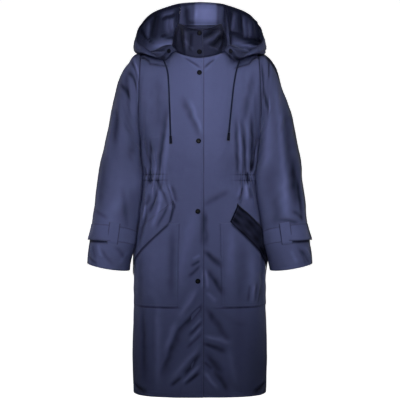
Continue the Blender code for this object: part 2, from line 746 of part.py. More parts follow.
def make_snap(name, spot, normal):
    """A domed snap cap on a low rim."""
    bm = bmesh.new()
    bmesh.ops.create_uvsphere(bm, u_segments=16, v_segments=8, radius=SNAP_DIAMETER / 2)
    low = [vertex for vertex in bm.verts if vertex.co.z < -1e-6]
    bmesh.ops.delete(bm, geom=low, context="VERTS")
    bmesh.ops.scale(bm, vec=(1, 1, SNAP_HEIGHT / (SNAP_DIAMETER / 2)), verts=bm.verts)
    bmesh.ops.contextual_create(bm, geom=[edge for edge in bm.edges if edge.is_boundary])
    bmesh.ops.transform(bm, matrix=Matrix.Translation(spot + normal * LAY) @ turned_to(normal), verts=bm.verts)
    mesh = bpy.data.meshes.new(name)
    bm.to_mesh(mesh)
    bm.free()
    mesh.shade_smooth()
    return link(name, mesh, "black_enamel")


def make_snaps(front, collar_piece):
    heights = [(z, collar_piece) for z in COLLAR_SNAP_Z] + [(z, front) for z in FRONT_SNAP_Z]
    for number, (z, panel) in enumerate(heights, 1):
        make_snap(f"snap_{number}", *facing(tree_of(panel), SNAP_X, z))


def make_eyelet(side, panel):
    """A flat metal ring in the hood's facing, where the drawcord's casing ends."""
    spot, normal = facing(tree_of(panel), SIDES[side] * EYELET_X, EYELET_Z)
    bpy.ops.mesh.primitive_torus_add(
        major_radius=EYELET_RADIUS, minor_radius=EYELET_BAR, major_segments=16, minor_segments=6
    )
    ring = bpy.context.object
    ring.data.transform(Matrix.Diagonal((1, 1, EYELET_FLAT, 1)))
    lift = LAY + EYELET_BAR * EYELET_FLAT
    ring.data.transform(Matrix.Translation(spot + normal * lift) @ turned_to(normal))
    ring.name = ring.data.name = f"eyelet_{side}"
    ring.data.materials.append(material("black_enamel"))
    for other in list(ring.users_collection):
        other.objects.unlink(ring)
    collection.objects.link(ring)


def make_cord(side):
    curve = bpy.data.curves.new(f"hood_cord_{side}", "CURVE")
    curve.dimensions = "3D"
    curve.bevel_depth = CORD_DIAMETER / 2
    curve.bevel_resolution = 2
    curve.use_fill_caps = True
    route = CORD_ROUTES[side]
    spline = curve.splines.new("POLY")
    spline.points.add(len(route) - 1)
    for point, place in zip(spline.points, route):
        point.co = (*place, 1)
    link(curve.name, curve, "navy_cord")


def make_cord_end(side):
    """The bell-shaped end that covers the cord's tip."""
    route = CORD_ROUTES[side]
    tip, before = Vector(route[-1]), Vector(route[-2])
    run = (tip - before).normalized()
    bpy.ops.mesh.primitive_cone_add(
        vertices=12,
        radius1=CORD_END_DIAMETER / 2,
        radius2=CORD_END_DIAMETER / 2 * CORD_END_TAPER,
        depth=CORD_END_LENGTH,
    )
    end = bpy.context.object
    middle = tip + run * (CORD_END_LENGTH / 2 + SEAM)
    end.data.transform(Matrix.Translation(middle) @ turned_to(-run))
    end.name = end.data.name = f"cord_end_{side}"
    end.data.materials.append(material("navy_cord"))
    for other in list(end.users_collection):
        other.objects.unlink(end)
    collection.objects.link(end)


make_pockets()
make_flaps()
make_straps()
make_loops()
collar = make_collar()
body_tree = tree_of(fronts["right"], fronts["left"], back, sleeves["right"], sleeves["left"])
hood = make_hood(body_tree)
make_snaps(fronts["right"], collar)
for wearer_side in SIDES:
    make_eyelet(wearer_side, hood[wearer_side])
    make_cord(wearer_side)
    make_cord_end(wearer_side)
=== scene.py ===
# %% [markdown]
# # A hooded parka, dressed
#
# The solid model gives this coat its pieces, their sizes and their places. This script gives it its looks:
# thin cloth with seams, gathers and wrinkles, stitching, snaps, cords, and the finish of each surface.
# It reads as a lesson. Each step says what the real piece is, how it could be made, and why it is made this
# way. Sizes are in metres, and creases in millimetres. +Z is up, and the front faces -Y. "Right" and "left"
# are the wearer's: right lies at -X.

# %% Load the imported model
import math

import bpy
import numpy as np
from mathutils import Matrix, Vector
from mathutils.bvhtree import BVHTree


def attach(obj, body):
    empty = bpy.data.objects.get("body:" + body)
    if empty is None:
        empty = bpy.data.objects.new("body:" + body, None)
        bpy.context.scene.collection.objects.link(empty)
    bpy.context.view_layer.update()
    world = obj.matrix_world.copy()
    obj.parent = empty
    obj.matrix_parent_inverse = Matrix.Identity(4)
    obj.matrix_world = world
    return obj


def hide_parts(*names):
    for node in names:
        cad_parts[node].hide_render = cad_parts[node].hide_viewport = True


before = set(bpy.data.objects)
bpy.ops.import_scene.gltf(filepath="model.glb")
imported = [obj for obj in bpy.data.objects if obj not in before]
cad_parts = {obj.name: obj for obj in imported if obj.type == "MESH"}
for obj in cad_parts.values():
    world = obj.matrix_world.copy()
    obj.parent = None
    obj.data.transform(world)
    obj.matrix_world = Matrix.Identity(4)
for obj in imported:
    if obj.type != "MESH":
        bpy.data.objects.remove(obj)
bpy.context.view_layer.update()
bpy.ops.object.select_all(action="DESELECT")
print("solid nodes:", len(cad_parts))

# %% [markdown]
# ## Camera
#
# The coat is seen straight from the front, from a little over three metres away, about level with its
# middle. A long lens keeps the sides upright. The view's width at the coat's middle plane sets the focal
# length, so one named size frames the whole coat.

# %% Set up the camera
CAMERA_DISTANCE = 3.3
CAMERA_HEIGHT = -0.465
VIEW_WIDTH = 1.24
camera_data = bpy.data.cameras.new("camera")
camera_data.lens = camera_data.sensor_width * CAMERA_DISTANCE / VIEW_WIDTH
camera = bpy.data.objects.new("camera", camera_data)
camera.location = (0.0008, -CAMERA_DISTANCE, CAMERA_HEIGHT)
camera.rotation_euler = (math.pi / 2, 0, 0)
bpy.context.scene.collection.objects.link(camera)
bpy.context.scene.camera = camera
print("focal length:", round(camera_data.lens, 1), "mm")

# %% [markdown]
# ## Sizes and sections
#
# A pattern cutter works from a few girths and lengths. So does this coat: each body section is a rounded
# rectangle given by its half width, its depth in front and behind, and how square it is. The same numbers
# shape the solids, so the cloth made here lies where they lie.

# %% Name the driving sizes
SIDES = {"right": -1, "left": 1}
OTHER = {"right": "left", "left": "right"}
HEM_Z, ARMPIT_Z = -1.0505, -0.280
SHOULDER_X, SHOULDER_Z = 0.181, -0.014
NECK_HALF_WIDTH = 0.088
NECK_FRONT_Y, NECK_BACK_Y = -0.090, 0.070
NECK_FRONT_Z, NECK_BACK_Z = -0.035, 0.012
ARMHOLE_DEPTH = 0.072
LAP_EDGE, UNDERLAP = 0.010, 0.025
LAP_FLAT, LAP_FADE, LAP_RISE = 0.030, 0.130, 0.0028
SEAM = 0.00006  # half the gap at a side seam, which is all but closed
RIDGE = 0.0008  # the same along the shoulder

BODY_SECTIONS = (
    # z, half_width, front_depth, back_depth, squareness
    (-1.0505, 0.2040, 0.1485, 0.1360, 3.30),
    (-0.930, 0.2075, 0.1460, 0.1330, 2.85),
    (-0.780, 0.2030, 0.1420, 0.1290, 2.80),
    (-0.640, 0.2020, 0.1380, 0.1260, 2.75),
    (-0.540, 0.1995, 0.1330, 0.1220, 2.70),
    (-0.465, 0.1910, 0.1260, 0.1170, 2.60),
    (-0.394, 0.1815, 0.1190, 0.1120, 2.50),
    (-0.340, 0.1855, 0.1220, 0.1180, 2.50),
    (-0.280, 0.1885, 0.1250, 0.1250, 2.50),
)

# The largest folds. Angles go from the middle front, or the middle back, to 90 at the side seams, and are
# below zero on the wearer's right.
FRONT_FOLDS = (
    # angle_up, z_up, angle_down, z_down, half_width_deg, depth
    (-70, -0.290, -62, -0.394, 3.6, -0.0055),
    (-60, -0.310, -54, -0.394, 3.4, -0.0045),
    (-56, -0.385, -49, -0.470, 3.4, 0.0050),
    (-66, -0.385, -61, -0.480, 3.4, 0.0050),
    (-77, -0.380, -75, -0.470, 3.8, 0.0045),
    (-61, -0.405, -56, -0.470, 3.0, -0.0045),
    (-60, -0.110, -38, -0.270, 7.0, -0.0050),
    (-6, -0.760, -26, -0.980, 6.0, -0.0050),
    (-2, -0.900, -22, -1.040, 6.0, 0.0040),
    (72, -0.290, 65, -0.394, 3.6, -0.0055),
    (59, -0.310, 56, -0.394, 3.4, -0.0045),
    (50, -0.385, 46, -0.465, 3.4, 0.0050),
    (60, -0.385, 61, -0.475, 3.4, 0.0050),
    (74, -0.380, 78, -0.480, 3.8, 0.0045),
    (55, -0.405, 51, -0.470, 3.0, -0.0045),
    (66, -0.060, 42, -0.260, 7.0, -0.0060),
    (18, -0.780, 40, -0.830, 7.0, 0.0040),
    (14, -0.960, 42, -1.040, 7.0, -0.0050),
)
BACK_FOLDS = (
    # angle_up, z_up, angle_down, z_down, half_width_deg, depth
    (-70, -0.290, -64, -0.394, 3.8, -0.0050),
    (-55, -0.320, -52, -0.394, 3.6, -0.0040),
    (-48, -0.385, -42, -0.480, 3.8, 0.0050),
    (-62, -0.385, -60, -0.480, 3.8, 0.0045),
    (-30, -0.500, -26, -0.960, 7.0, -0.0040),
    (68, -0.290, 62, -0.394, 3.8, -0.0050),
    (53, -0.320, 50, -0.394, 3.6, -0.0040),
    (46, -0.385, 43, -0.480, 3.8, 0.0050),
    (60, -0.385, 62, -0.480, 3.8, 0.0045),
    (22, -0.500, 30, -0.980, 7.0, 0.0040),
)
CALM_FROM, CALM_OVER = 10, 12  # the middle stays flat up to here, then folds over this much, in degrees
FOLD_ENDS = 0.25  # a fold dies away over this share of its length

# Where the columns of the cloth stand, in degrees round the body and round the neck.
FRONT_COLUMNS = (5, 13, 19, 24.5, 32, 39, 45, 51, 57, 63, 70, 79, 90)
NECK_TURNS = (8, 24, 40, 57, 74, 90)
BACK_COLUMNS = (0, 10, 19, 28, 36, 44, 52, 60, 68, 78, 90)
BACK_NECK_COLUMNS = 4  # the columns up to this one end at the neckline

SLEEVE_SECTIONS = (
    # outer_x, outer_z, inner_x, inner_z, half_depth, middle_y
    (0.1810, -0.0140, 0.1885, -0.2800, 0.0720, 0.000),
    (0.2010, -0.0191, 0.1890, -0.2881, 0.0735, -0.001),
    (0.2233, -0.0464, 0.1885, -0.2972, 0.0730, -0.003),
    (0.2436, -0.0837, 0.1880, -0.3083, 0.0715, -0.006),
    (0.2556, -0.1301, 0.1904, -0.3235, 0.0690, -0.011),
    (0.2675, -0.1865, 0.1870, -0.3437, 0.0660, -0.018),
    (0.2787, -0.2498, 0.1835, -0.3698, 0.0630, -0.027),
    (0.2908, -0.3097, 0.1820, -0.4027, 0.0600, -0.036),
    (0.3049, -0.3732, 0.1825, -0.4393, 0.0580, -0.044),
    (0.3137, -0.4276, 0.1861, -0.4788, 0.0565, -0.050),
    (0.3212, -0.4798, 0.1908, -0.5201, 0.0555, -0.054),
    (0.3277, -0.5299, 0.1956, -0.5593, 0.0545, -0.057),
    (0.3339, -0.5770, 0.2004, -0.5986, 0.0535, -0.059),
    (0.3392, -0.6182, 0.2062, -0.6378, 0.0525, -0.060),
    (0.3430, -0.6560, 0.2130, -0.6778, 0.0520, -0.061),
)
# The least room between sleeve and body, at heights from the cuff up.
SLEEVE_CLEARS = ((-0.70, 0.0115), (-0.665, 0.0100), (-0.60, 0.0045), (-0.52, 0.0040), (-0.28, 0.0032))
# How far each sleeve's inner front comes round before the body, at heights from the cuff up.
TUCK_HEIGHTS = (-0.67, -0.635, -0.60, -0.52, -0.40, -0.30, -0.20)
SLEEVE_TUCKS = {
    "right": (0.0, 0.006, 0.015, 0.017, 0.016, 0.016, 0.0),
    "left": (0.0, 0.006, 0.015, 0.019, 0.026, 0.018, 0.0),
}
CUFF_DIP = 0.0055  # how far the front of the cuff hangs below a straight cut
ARMHOLE_GAP = 0.0007


# %% Interpolate and read tables
def mix(a, b, t):
    return a + (b - a) * t


def smooth(t):
    t = np.clip(t, 0, 1)
    return t * t * (3 - 2 * t)


def table_at(rows, value):
    """A table's columns where its first one is value, on a smooth curve through the rows."""
    table = np.array(rows, float)
    value = np.clip(value, table[0, 0], table[-1, 0])
    low = np.clip(np.searchsorted(table[:, 0], value) - 1, 0, len(table) - 2)
    a, b = table[np.maximum(low - 1, 0)], table[low]
    c, d = table[low + 1], table[np.minimum(low + 2, len(table) - 1)]
    span = c[..., :1] - b[..., :1]
    t = (value[..., None] - b[..., :1]) / span
    rise_low = (c - a) / (c[..., :1] - a[..., :1]) * span
    rise_high = (d - b) / (d[..., :1] - b[..., :1]) * span
    found = b * (1 + 2 * t) * (1 - t) ** 2 + rise_low * t * (1 - t) ** 2
    found += c * t * t * (3 - 2 * t) - rise_high * t * t * (1 - t)
    return np.moveaxis(found[..., 1:], -1, 0)


def listed_at(values, place):
    """A smooth curve through a plain list, read at a place between its entries."""
    return table_at([(i, value) for i, value in enumerate(values)], place)[0]


# %% [markdown]
# ## Body, yoke and sleeves as surfaces
#
# Fronts and back could be sculpted, or draped by simulation. A worked-out surface is steadier: below the
# armpit it follows the sections, above it each panel rolls over the shoulder to meet the neckline, the
# shoulder seam and the armhole. Every panel becomes a fine grid of points, ready for folds.

# %% Work out the body's surface
def fold_height(folds, angle, z):
    """How far the largest folds lift the body's section here."""
    calm = smooth((abs(angle) - CALM_FROM) / CALM_OVER)
    height = np.zeros(np.broadcast(angle, z).shape)
    for angle_up, z_up, angle_down, z_down, half_width, depth in folds:
        along = (z_up - z) / (z_up - z_down)
        taper = smooth((along + FOLD_ENDS) * 3) * smooth((1 + FOLD_ENDS - along) * 3)
        off = (angle - mix(angle_up, angle_down, along)) / half_width
        height += depth * taper * np.exp(-off * off)
    return height * calm


def section_point(angle, z, front, lift=0.0):
    """(across, y) on the body's section, with the angle from the middle front or the middle back."""
    half_width, front_depth, back_depth, power = table_at(BODY_SECTIONS, z)
    depth = front_depth if front else back_depth
    turn = np.radians(angle)
    reach = (abs(np.sin(turn)) / half_width) ** power + (abs(np.cos(turn)) / depth) ** power
    radius = reach ** (-1 / power) + lift
    return radius * np.sin(turn), (-1 if front else 1) * radius * np.cos(turn)


def neck_point(turn):
    """The neckline, turned from the middle front (0) over the side (90) to the back (180)."""
    t = np.radians(turn)
    front = np.cos(t) > 0
    y = np.where(front, NECK_FRONT_Y, -NECK_BACK_Y) * np.cos(t)
    lift = np.where(front, NECK_FRONT_Z, NECK_BACK_Z)
    return np.stack([NECK_HALF_WIDTH * np.sin(t), y, lift * abs(np.cos(t)) ** 1.7], -1)


def shoulder_point(t):
    """The shoulder seam of the left side, from the neckline (0) to the armhole (1)."""
    t = np.clip(t, 0, 1)
    return np.stack([mix(NECK_HALF_WIDTH, SHOULDER_X, t), 0 * t, SHOULDER_Z * t**1.2], -1)


def yoke_point(bottom, top, s, share, away):
    """A roll over the shoulder that turns into the armhole's edge as share goes to 1."""
    rise = np.sin(s * np.pi / 2) ** mix(1.0, 2.0, share**3)
    straight = 1 - smooth(share * 2.2) * 0.85
    roll = mix(np.cos(s * np.pi / 2), 1 - rise, straight * 0.8)
    bulge = ARMHOLE_DEPTH * share**4 * np.sin(s * np.pi)
    x = mix(bottom[..., 0], top[..., 0], mix(s * s, rise, share))
    y = mix(top[..., 1], bottom[..., 1], roll) + away * bulge
    return np.stack([x, y, mix(bottom[..., 2], top[..., 2], rise)], -1)


# %% [markdown]
# ## A panel of cloth
#
# A panel keeps its grid of points with two cloth coordinates for each: how far across and how far along the
# cloth it lies. Folds, seams and stitches are all placed by those, as chalk marks are on a cut piece. Rows
# and columns stand close together at the edges and beside each line of stitches, where the cloth bends most.

# %% Describe a panel
EDGE_STEPS = (0.0004, 0.0011, 0.0021)
GROOVE_STEP = 0.0012


def spaced(length, step, grooves=(), ends=(True, True)):
    """Places from 0 to length about one step apart, finer at the ends and at grooves."""
    special = [0.0, length]
    special += [place for place in EDGE_STEPS if ends[0]]
    special += [length - place for place in EDGE_STEPS if ends[1]]
    special += [groove + k * GROOVE_STEP for groove in grooves for k in (-1, 0, 1)]
    even = np.linspace(0, length, round(length / step) + 1)
    special = np.array(special)
    kept = [place for place in even if abs(special - place).min() > 0.4 * step]
    return np.unique(np.round(np.concatenate([special, kept]), 6))


class Panel:
    """A grid of points, rows by columns, whose outward side is columns x rows."""

    def __init__(self, points, across, along, ring=False):
        self.points, self.across, self.along, self.ring = points, across, along, ring
        # painted shading: below zero it darkens the colour as painted shade, above zero it lightens it as
        # painted highlight
        self.fold = np.zeros(across.shape)

    def normals(self):
        if self.ring:
            across = np.roll(self.points, -1, 1) - np.roll(self.points, 1, 1)
        else:
            across = np.gradient(self.points, axis=1)
        normal = np.cross(across, np.gradient(self.points, axis=0))
        return normal / np.maximum(np.linalg.norm(normal, axis=-1, keepdims=True), 1e-12)

    def raised(self, height):
        self.points = self.points + self.normals() * np.broadcast_to(height, self.across.shape)[..., None]
        return self

    def mirrored(self):
        return Panel(self.points[:, ::-1] * (-1, 1, 1), -self.across[:, ::-1], self.along[:, ::-1], self.ring)

    def edge_distance(self, edge):
        """How far each point lies from the left, right, low or high edge, along the cloth."""
        axis = 1 if edge in ("left", "right") else 0
        steps = np.linalg.norm(np.diff(self.points, axis=axis), axis=-1)
        total = np.insert(np.cumsum(steps, axis=axis), 0, 0, axis=axis)
        if edge in ("left", "low"):
            return total
        return np.take(total, [-1], axis=axis) - total


def row_lengths(points):
    steps = np.linalg.norm(np.diff(points, axis=1), axis=-1)
    return np.insert(np.cumsum(steps, axis=1), 0, 0, axis=1)


def climb(points):
    return row_lengths(points.transpose(1, 0, 2)).T


def measured(points):
    """A panel whose cloth coordinates are measured along its own points."""
    return Panel(points, row_lengths(points), climb(points))


# %% Lay out the fronts and the back
CLOTH_STEP = 0.0034
BACK_STEP = 0.0046
YOKE_STEPS = 84
MIDDLE_Z, MIDDLE_DEPTH = -0.6, 0.135  # the columns are evened out at this height and this depth
HEM_STITCHES = (0.0085, 0.0180)
CHANNEL_Z = (-0.3880, -0.4060)
BODY_GROOVES = [*HEM_STITCHES, *(z - HEM_Z for z in CHANNEL_Z)]
PLACKET_STITCH = 0.0060
LAP_SHADE, LAP_SHADE_OFF, LAP_SHADE_REACH = 0.7, 0.001, 0.0014
# Lines along the front edge that need narrow columns, from that edge: stitches, and the painted shade under
# the lap.
PLACKET_LINES = {"right": (PLACKET_STITCH,), "left": (UNDERLAP + LAP_EDGE + LAP_SHADE_OFF,)}


def body_heights(step):
    return HEM_Z + spaced(ARMPIT_Z - HEM_Z, step, BODY_GROOVES, ends=(True, False))


def eased(points, row, amount=1.0, reach=22, times=90):
    """The same points with the change of slope at this row spread over the rows near it."""
    window = slice(row - reach, row + reach + 1)
    near = points[window].copy()
    for _ in range(times):
        near[1:-1] = (near[:-2] + 2 * near[1:-1] + near[2:]) / 4
    blend = smooth(1.6 * (1 - abs(np.arange(-reach, reach + 1)) / reach))[:, None] * amount
    points[window, :, 1] = mix(points[window, :, 1], near[..., 1], blend)
    return points


def eased_over(points, column, first_row):
    """Spreads the corner where the neckline meets the shoulder seam, below the top edge."""
    down = np.clip((len(points) - 1 - np.arange(len(points))) / 12, 0, 1)
    turned = eased(points.transpose(1, 0, 2), column, smooth(down) * (np.arange(len(points)) > first_row))
    return turned.transpose(1, 0, 2)


def yoke_shares(steps):
    return spaced(1.0, 1 / steps, ends=(False, False))[1:]


def even_columns(curve, last, step, grooves=()):
    """Column places about one step apart on a curve of place and height, at the middle height."""
    fine = np.linspace(0, last, 400)
    across, y = curve(fine, 0 * fine + MIDDLE_Z)
    length = np.insert(np.cumsum(np.hypot(np.diff(across), np.diff(y))), 0, 0)
    return np.interp(spaced(length[-1], step, grooves), length, fine)


def front_angle(place, z, past_middle):
    """The angle of a column place at this height. Place 0 lies on the free edge."""
    depth = table_at(BODY_SECTIONS, z)[1]
    edge = -np.degrees(np.arctan2(past_middle, depth))
    steady = -np.degrees(np.arctan2(past_middle, MIDDLE_DEPTH))
    return listed_at([steady, *FRONT_COLUMNS], place) + (edge - steady) * np.clip(1 - place, 0, 1)


def front_panel(side):
    past_middle = LAP_EDGE if side == "right" else UNDERLAP
    sign, last, neck = SIDES[side], len(FRONT_COLUMNS), len(NECK_TURNS)
    columns = even_columns(
        lambda place, z: section_point(front_angle(place, z, past_middle), z, True),
        last, CLOTH_STEP, PLACKET_LINES[side],
    )
    z, place = np.meshgrid(body_heights(CLOTH_STEP), columns, indexing="ij")
    angle = front_angle(place, z, past_middle)
    across, y = section_point(angle, z, True, fold_height(FRONT_FOLDS, sign * angle, z))
    body = np.stack([across, np.minimum(y, -SEAM), z], -1)
    start = -np.degrees(np.arcsin(past_middle / NECK_HALF_WIDTH))
    turn = listed_at([start, *NECK_TURNS], np.minimum(columns, neck))
    beyond = shoulder_point((columns - neck) / (last - neck))
    top = np.where((columns > neck)[:, None], beyond, neck_point(turn))
    s, share = np.meshgrid(yoke_shares(YOKE_STEPS), np.maximum(0, columns - 1) / (last - 1), indexing="ij")
    yoke = yoke_point(body[-1], top, s, share, -1)
    yoke[..., 1] -= fold_height(FRONT_FOLDS, sign * 90 * share, yoke[..., 2]) * (1 - s)
    yoke[..., 1] = np.minimum(yoke[..., 1], -RIDGE)
    points = eased(np.concatenate([body, yoke]), len(body) - 1)
    points = eased_over(points, int(np.searchsorted(columns, neck)), len(body))
    points[..., 1] = np.minimum(points[..., 1], -SEAM)
    if side == "right":
        points[..., 1] -= LAP_RISE * (1 - smooth((points[..., 0] - LAP_FLAT) / (LAP_FADE - LAP_FLAT)))
    along = np.concatenate([z, ARMPIT_Z + climb(np.concatenate([body[-1:], yoke]))[1:]])
    panel = Panel(points, row_lengths(points) - past_middle, along)
    panel.angle = angle
    if side == "right":
        panel = panel.mirrored()
        panel.angle = -angle[:, ::-1]
    return panel


def back_panel():
    last = len(BACK_COLUMNS) - 1
    half = even_columns(
        lambda place, z: section_point(listed_at(BACK_COLUMNS, place), z, False), last, BACK_STEP
    )
    half = half[half > 0.05]  # the middle column stands between the two halves
    columns = np.concatenate([-half[::-1], [0], half])
    z, place = np.meshgrid(body_heights(BACK_STEP), columns, indexing="ij")
    angle = np.sign(place) * listed_at(BACK_COLUMNS, abs(place))
    across, y = section_point(angle, z, False, fold_height(BACK_FOLDS, angle, z))
    body = np.stack([across, np.maximum(y, SEAM), z], -1)
    size = abs(columns)
    beyond = shoulder_point((size - BACK_NECK_COLUMNS) / (last - BACK_NECK_COLUMNS))
    neck = neck_point(180 - 90 * np.minimum(size, BACK_NECK_COLUMNS) / BACK_NECK_COLUMNS)
    top = np.where((size > BACK_NECK_COLUMNS)[:, None], beyond, neck)
    top[:, 0] *= np.where(columns < 0, -1, 1)
    s, share = np.meshgrid(yoke_shares(YOKE_STEPS), size / last, indexing="ij")
    yoke = yoke_point(body[-1], top, s, share, 1)
    yoke[..., 1] = np.maximum(yoke[..., 1], RIDGE)
    points = eased(np.concatenate([body, yoke]), len(body) - 1)
    points[..., 1] = np.maximum(points[..., 1], SEAM)
    lengths = row_lengths(points)
    across = lengths - lengths[:, [len(columns) // 2]]
    along = np.concatenate([z, ARMPIT_Z + climb(np.concatenate([body[-1:], yoke]))[1:]])
    return Panel(points[:, ::-1], across[:, ::-1], along[:, ::-1])


fronts = {side: front_panel(side) for side in SIDES}
back = back_panel()
print("front grid:", fronts["left"].across.shape, "back grid:", back.across.shape)

# %% Lay out the sleeves
SLEEVE_STEP = 0.0040
SLEEVE_GIRTH, SLEEVE_LENGTH = 0.36, 0.66
CUFF_STITCH = 0.034


def body_edge(y, z):
    """Half width of the body at this depth and height, below the armpit."""
    half_width, front_depth, back_depth, power = table_at(BODY_SECTIONS, z)
    depth = np.where(y < 0, front_depth, back_depth)
    inside = np.maximum(0.0, 1 - (abs(y) / depth) ** power)
    return half_width * inside ** (1 / power)


def sleeve_point(turn, share, side):
    """A point of a sleeve, given as if it were the left one.

    turn goes from its inner side over the front, and share from its top to the cuff.
    """
    rows = [(i, *row) for i, row in enumerate(SLEEVE_SECTIONS)]
    outer_x, outer_z, inner_x, inner_z, half_depth, middle_y = table_at(rows, share * (len(rows) - 1))
    out = (1 - np.cos(turn)) / 2
    x, z = mix(inner_x, outer_x, out), mix(inner_z, outer_z, out)
    y = middle_y - half_depth * np.sin(turn)
    x = x - np.interp(z, TUCK_HEIGHTS, SLEEVE_TUCKS[side]) * np.sin(2 * np.clip(turn, 0, np.pi / 2))
    z = z - CUFF_DIP * np.sin(turn) * share**5
    clear = np.interp(z, *zip(*SLEEVE_CLEARS))
    needed = np.where((z < ARMPIT_Z) & (share > 0.03), body_edge(y, z) + clear, -1)
    x = np.maximum(x, needed) + ARMHOLE_GAP * (share < 0.001)
    return np.stack([x, y, z], -1)


def sleeve_panel(side):
    count = round(SLEEVE_GIRTH / SLEEVE_STEP)
    turns = np.arange(count) / count * 2 * np.pi
    places = spaced(SLEEVE_LENGTH, SLEEVE_STEP, grooves=(CUFF_STITCH,))
    share, turn = np.meshgrid(1 - places / SLEEVE_LENGTH, turns, indexing="ij")
    points = sleeve_point(turn, share, side)
    panel = Panel(points, turn * SLEEVE_GIRTH / (2 * np.pi), share * SLEEVE_LENGTH, ring=True)
    return panel if side == "left" else panel.mirrored()


sleeves = {side: sleeve_panel(side) for side in SIDES}
print("sleeve grid:", sleeves["left"].across.shape)

# %% [markdown]
# ## Folds and gathers
#
# Folds could come from a cloth simulation. The ones that matter here have known places, so each is listed: a
# line on the cloth from one end to the other, how far it bows, its width at each end, its depth and its lean.
# A trough pushes up the cloth beside it, and a wandering line keeps it from looking drawn with a ruler. A
# quiet unevenness everywhere does the rest.

# %% Shape folds on the cloth
WAVES = 9


def unevenness(across, along, size, seed):
    """Seeded waves about this long in every direction, mostly between -1 and 1."""
    chance = np.random.default_rng(seed)
    total = np.zeros(np.broadcast(across, along).shape)
    for _ in range(WAVES):
        turn, phase = chance.uniform(0, 2 * np.pi, 2)
        pace = 2 * np.pi / (size * chance.uniform(0.7, 1.6))
        total += np.sin(pace * (across * np.cos(turn) + along * np.sin(turn)) + phase)
    return total / math.sqrt(WAVES)


def drift(panel, *layers):
    """The cloth's own unevenness: layers of how deep, how long and which seed."""
    return sum(deep * unevenness(panel.across, panel.along, size, seed) for deep, size, seed in layers)


# A crease's mark is painted shade in a trough and painted highlight on a ridge.
BROAD = 0.05  # a crease this wide is a swell and leaves no mark
SHARP, NARROW = 0.0018, 0.0065  # a crease this deep and this narrow marks the cloth in full
WANDER, RAGGED = 0.12, 0.10  # how far its line wanders, in widths, and how uneven its depth is
TAPER_PAST, TAPER_OVER = 0.18, 0.42  # how far past its ends it fades out, and over how much, in its lengths
BANK, BANK_OFF = 0.30, 1.9  # the cloth banks up beside it this much, this many widths off


def crease_height(panel, creases):
    """The height of a table of creases: ridges have depth above 0, troughs below."""
    across, along = panel.across, panel.along
    wander = unevenness(across, along, 0.045, 5)
    strength = 1 + RAGGED * unevenness(across, along, 0.030, 8)
    height = np.zeros(across.shape)
    for u_from, v_from, u_to, v_to, bow, wide_from, wide_to, depth, lean in creases:
        run_u, run_v = u_to - u_from, v_to - v_from
        length = math.hypot(run_u, run_v)
        t = ((across - u_from) * run_u + (along - v_from) * run_v) / length**2
        off = ((across - u_from) * run_v - (along - v_from) * run_u) / length
        width = mix(wide_from, wide_to, np.clip(t, 0, 1))
        off = off - bow * 4 * t * (1 - t) + wander * WANDER * width
        off = off / (width * (1 + lean * np.tanh(off / width)))
        taper = smooth((t + TAPER_PAST) / TAPER_OVER) * smooth((1 + TAPER_PAST - t) / TAPER_OVER)
        banks = BANK * np.exp(-((abs(off) - BANK_OFF) ** 2))
        uneven = strength if wide_from < BROAD else 1
        height += depth * taper * (np.exp(-off * off) - banks) * uneven
        # a narrow crease also gets painted shade in its trough and painted highlight on its ridge
        if wide_from < BROAD:
            crease_shading = np.clip(depth / SHARP, -1, 1) * np.clip(NARROW / width, 0.3, 1)
            panel.fold += crease_shading * taper * np.exp(-off * off) * uneven
    return height


OFF_PANEL = 25  # a crease that ends farther off than this belongs to another panel, in millimetres
ONE_CREASE = 0.26  # the most cloth that one crease runs over
EDGEWAYS = 0.3  # cloth that turns away this far does not show


def chalked(panel, rows, back=False):
    """Creases drawn as they show from the front, or from behind, in millimetres, moved onto the cloth."""
    facing = panel.normals()[..., 1] * (-1 if back else 1) < EDGEWAYS
    x, z = panel.points[..., 0] * 1000, panel.points[..., 2] * 1000
    creases = []
    for x_from, z_from, x_to, z_to, wide_from, wide_to, depth, *rest in rows:
        ends = []
        for x_end, z_end in ((x_from, z_from), (x_to, z_to)):
            near = facing & (abs(panel.across - ends[0]) < ONE_CREASE) if ends else facing
            gap = np.where(near, (x - x_end) ** 2 + (z - z_end) ** 2, np.inf)
            spot = np.unravel_index(gap.argmin(), gap.shape)
            if gap[spot] < OFF_PANEL**2:
                ends += [panel.across[spot], panel.along[spot]]
        bow, lean = (*rest, 0, 0)[:2]
        if len(ends) == 4:
            creases.append((*ends, bow / 1000, wide_from / 1000, wide_to / 1000, depth / 1000, lean))
    return creases


def shaded_edges(panel, edges, much=0.9, reach=0.0022):
    """Edges where the cloth bends away get a painted dark line of shade."""
    for edge in edges:
        panel.fold -= much * np.exp(-((panel.edge_distance(edge) / reach) ** 2))


SEAM_CALM = 0.012  # folds die away this near to a seam
SUNK, SUNK_REACH = 0.0011, 0.0024  # how far a seam draws the cloth in, and how far off that shows
FOLD_RADIUS, FOLD_BEND = 0.0012, 0.8  # the rounding of a turned-in edge, and how much of it is made
GROOVE, GROOVE_REACH = 0.00035, 0.0016  # how deep a line of stitches lies, and half its width
# The ripples beside stitches: height, spacing, reach and seed.
PUCKER, PUCKER_PACE, PUCKER_REACH, PUCKER_SEED = 0.00035, 0.0115, 0.007, 3


def level_seams(panel, height, seams):
    """Folds die away towards a seam, so that both sides of it lie level."""
    for edge in seams:
        height *= smooth(panel.edge_distance(edge) / SEAM_CALM)
    return height


def sunk_edges(panel, seams):
    """How far the sewn edges draw the cloth in. They also get a painted line of shade."""
    height = np.zeros(panel.across.shape)
    for edge in seams:
        height -= SUNK * np.exp(-((panel.edge_distance(edge) / SUNK_REACH) ** 2))
    shaded_edges(panel, seams)
    return height


def rolled_edges(panel, edges):
    """The outer face of a turned-in edge bends down to where it is folded."""
    height = np.zeros(panel.across.shape)
    for edge in edges:
        inside = np.maximum(0, FOLD_RADIUS - panel.edge_distance(edge))
        height -= FOLD_BEND * (FOLD_RADIUS - np.sqrt(np.maximum(FOLD_RADIUS**2 - inside**2, 0)))
    return height


